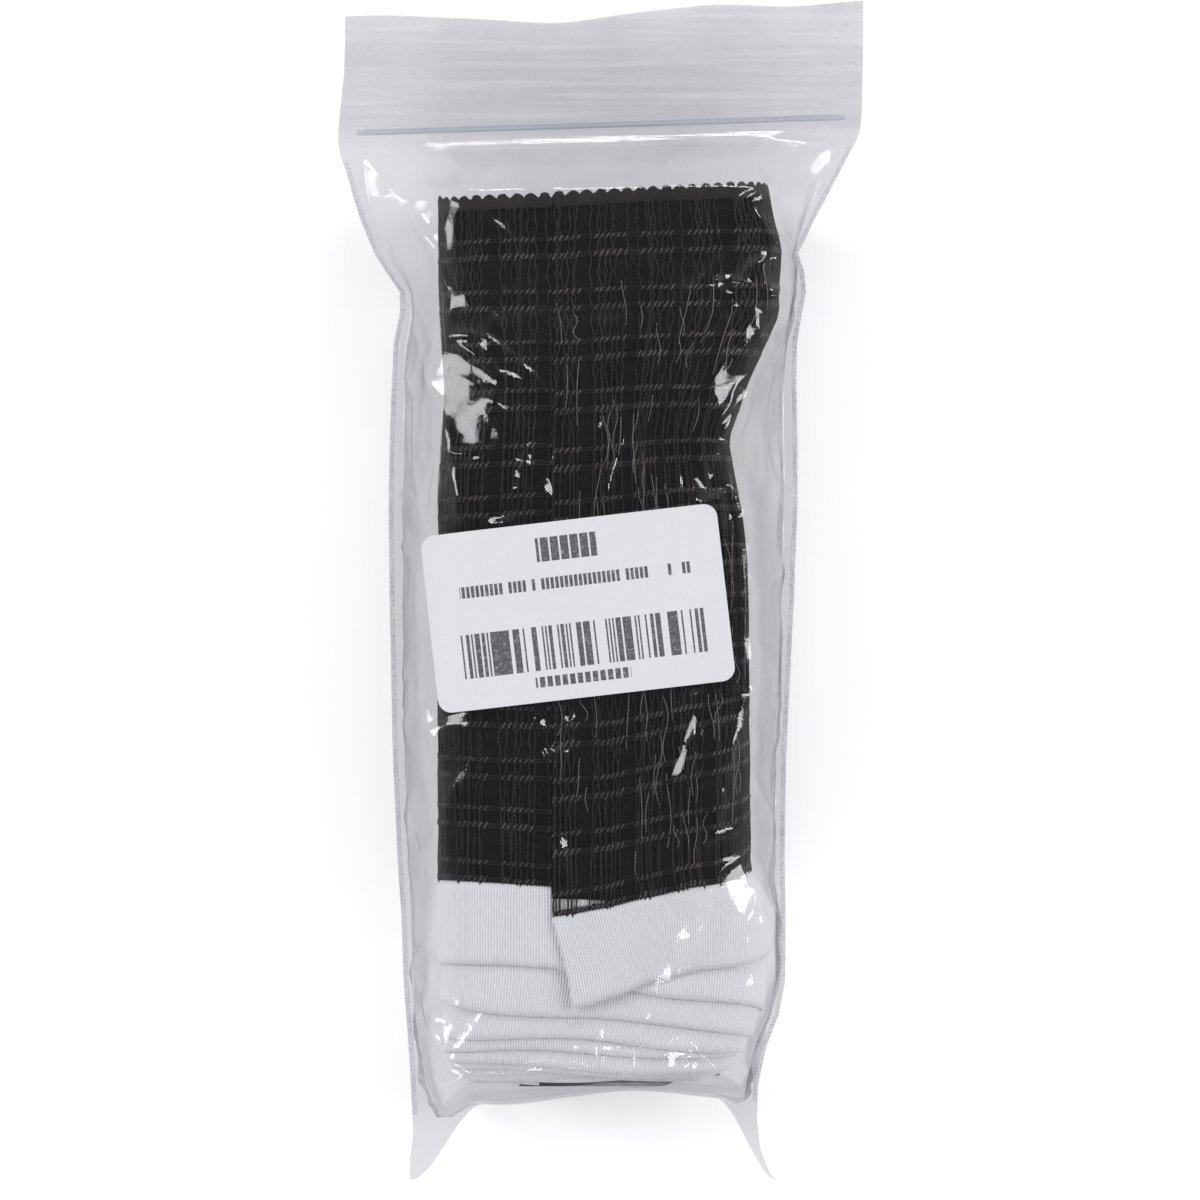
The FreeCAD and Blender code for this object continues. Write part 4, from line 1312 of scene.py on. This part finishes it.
@dataclass
class Pack:
    """Everything in the bag and the bag itself, built on the loaded frame."""

    frame: dict
    winding: Winding = field(default_factory=Winding)

    def dress(self, nodes: Sequence[str], material: bpy.types.Material) -> None:
        """Gives CAD nodes their finish."""
        for name in nodes:
            node = self.frame["nodes"][name]
            node.data.materials.clear()
            node.data.materials.append(material)
            LOG.info("dressed %s with %s", name, material.name)

    def build_net(self) -> None:
        """The wound net."""
        roll = NetRoll(self.winding)
        yarn = KnitYarn().build()
        tape = roll.headband(WovenTape().build())
        cloth = roll.cloth(KnitCloth().build())
        # The raised stitches are the same black yarn painted much paler: painted glints on the chain
        # stitches.
        painted_glint_yarn = KnitYarn("chain_yarn_painted_glints", rgb(0.045, 0.036, 0.033), rgb(0.26, 0.225, 0.205), 0.34, 0.5).build()
        # The loose filaments are the same black yarn painted grey: painted glints, with real gloss on top.
        painted_glint_filament = KnitYarn("loose_filament", rgb(0.20, 0.18, 0.17), rgb(0.42, 0.39, 0.37), 0.3, 0.5).build()
        strands, rows, hem = roll.strands(yarn), roll.rows(yarn), roll.picots(yarn)
        slants, hairs = roll.slants(painted_glint_yarn), roll.hairs(painted_glint_filament)
        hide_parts("net_headband")
        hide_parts("net_mesh")
        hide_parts("net_scalloped_hem")
        for piece in (tape, cloth, strands, rows, hem, slants, hairs):
            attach(piece, Body.PACK.value)
            LOG.info("built %s: %d faces", piece.name, len(piece.data.polygons))

    def build_bag(self) -> None:
        """The two walls with their lips, the seams and the track."""
        bag = FilmBag()
        film = ClearFilm().build()
        weld = ClearFilm("welded_film", rgb(0.97, 0.97, 0.98), rgb(0.86, 0.86, 0.88), 1.0, 0.05, 0.8).build()
        plastic = TrackPlastic().build()
        for face, lip, creases in ((Face.FRONT, Body.FRONT_LIP, front_creases()),
                                   (Face.BACK, Body.BACK_LIP, back_creases())):
            low = face.name.lower()
            wall = bag.wall(face, creases).to_object(f"bag_film_{low}", film)
            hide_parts(f"bag_{low}_wall", f"bag_{low}_lip")
            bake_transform(wall)
            track = bag.track(face, plastic)
            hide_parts("seal_track_rib" if face is Face.FRONT else "seal_track_groove")
            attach(track, lip.value)
            LOG.info("built %s: %d faces", wall.name, len(wall.data.polygons))
        for side, node in ((1, "bag_right_seal"), (-1, "bag_left_seal")):
            seam = bag.seam(side, weld)
            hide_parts(node)
            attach(seam, Body.PACK.value)

    def build_label(self) -> None:
        """The label stays the CAD piece, with printed paper on it."""
        self.dress(["label"], PrintedPaper().build())

    def build_hardware(self) -> None:
        """Rods, caps and clamps keep their CAD shapes and take their finishes."""
        nodes = sorted(self.frame["nodes"])
        paint = HardFinish("powder_coat", rgb(0.018, 0.018, 0.02), rgb(0.05, 0.05, 0.052), 0.42,
                           depth=0.00008)
        plate = HardFinish("zinc_plate", rgb(0.62, 0.62, 0.64), rgb(0.4, 0.4, 0.42), 0.24, metallic=1.0,
                           grain=900.0)
        moulded = HardFinish("moulded_plastic", rgb(0.022, 0.022, 0.025), rgb(0.05, 0.05, 0.055), 0.45)
        rubber = HardFinish("rubber_pad", rgb(0.03, 0.03, 0.03), rgb(0.07, 0.07, 0.07), 0.75, depth=0.0001)
        self.dress([n for n in nodes if n.startswith("post_rod") or n.endswith("_frame")], paint.build())
        plated = ("_weld_nut", "_screw", "_swivel_pad")
        self.dress([n for n in nodes if n.startswith("post_nut") or n.endswith(plated)], plate.build())
        self.dress([n for n in nodes if n.startswith("post_cap") or n.endswith("_knob")], moulded.build())
        self.dress([n for n in nodes if n.endswith("_table_pad")], rubber.build())


class Studio:
    """White sweep, soft lights and a camera straight above the pack."""

    def floor(self) -> None:
        """A large pale floor on Z = 0."""
        points = np.array([[[-2500.0, -2500.0, -0.05], [2500.0, -2500.0, -0.05]],
                           [[-2500.0, 2500.0, -0.05], [2500.0, 2500.0, -0.05]]])
        floor = Surface.of_grid(points).to_object("studio_floor", StudioPaper().build(), smooth=False)

    def light(self, name: str, place: Sequence[float], size: Sequence[float], watts: float) -> None:
        """One rectangular soft light, aimed at the pack."""
        lamp = bpy.data.lights.new(name, "AREA")
        lamp.shape, lamp.size, lamp.size_y, lamp.energy = "RECTANGLE", size[0], size[1], watts
        obj = bpy.data.objects.new(name, lamp)
        obj.location = place
        obj.rotation_euler = (-Vector(place)).to_track_quat("-Z", "Y").to_euler()
        bpy.context.scene.collection.objects.link(obj)

    def lights(self) -> None:
        """Two long boxes at the sides, one beyond the head and a weak one at the foot, in a grey room."""
        self.light("box_left", (-1.05, 0.35, 0.95), (0.32, 0.85), 11.8)
        self.light("box_right", (1.05, 0.15, 0.85), (0.28, 0.75), 10.0)
        self.light("box_head", (0.2, 1.25, 0.85), (0.65, 0.2), 7.6)
        self.light("box_foot", (-0.15, -1.2, 1.0), (0.5, 0.2), 4.9)
        world = bpy.data.worlds.new("room")
        world.use_nodes = True
        nodes, links = world.node_tree.nodes, world.node_tree.links
        where, height = nodes.new("ShaderNodeTexCoord"), nodes.new("ShaderNodeSeparateXYZ")
        fade, mix = nodes.new("ShaderNodeMapRange"), nodes.new("ShaderNodeMix")
        fade.interpolation_type, mix.data_type = "SMOOTHSTEP", "RGBA"
        fade.inputs["From Min"].default_value, fade.inputs["From Max"].default_value = 0.2, 0.85
        mix.inputs[6].default_value, mix.inputs[7].default_value = rgb(1.0, 1.0, 1.02), rgb(0.16, 0.17, 0.19)
        links.new(where.outputs["Generated"], height.inputs[0])
        links.new(height.outputs["Z"], fade.inputs["Value"])
        links.new(fade.outputs[0], mix.inputs[0])
        links.new(mix.outputs[2], nodes["Background"].inputs["Color"])
        bpy.context.scene.world = world
        bpy.context.scene.view_settings.view_transform = "Standard"

    def camera(self) -> None:
        """A long lens 0.9 m above the pack's middle plane, looking straight down with +Y up the frame."""
        data = bpy.data.cameras.new("camera")
        data.sensor_width, data.lens = 36.0, 36.0 * 0.9 / 0.2339
        data.clip_start, data.clip_end = 0.01, 20.0
        obj = bpy.data.objects.new("camera", data)
        obj.location = (0.0, 0.0, 0.919)
        bpy.context.scene.collection.objects.link(obj)
        bpy.context.scene.camera = obj


def main() -> None:
    """Builds the pack and its studio."""
    logging.basicConfig(level=logging.INFO, format="%(name)s: %(message)s")
    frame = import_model()
    pack = Pack(frame)
    pack.build_hardware()
    pack.build_label()
    pack.build_net()
    pack.build_bag()
    studio = Studio()
    studio.floor()
    studio.lights()
    studio.camera()
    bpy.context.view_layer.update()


if __name__ == "__main__":
    main()
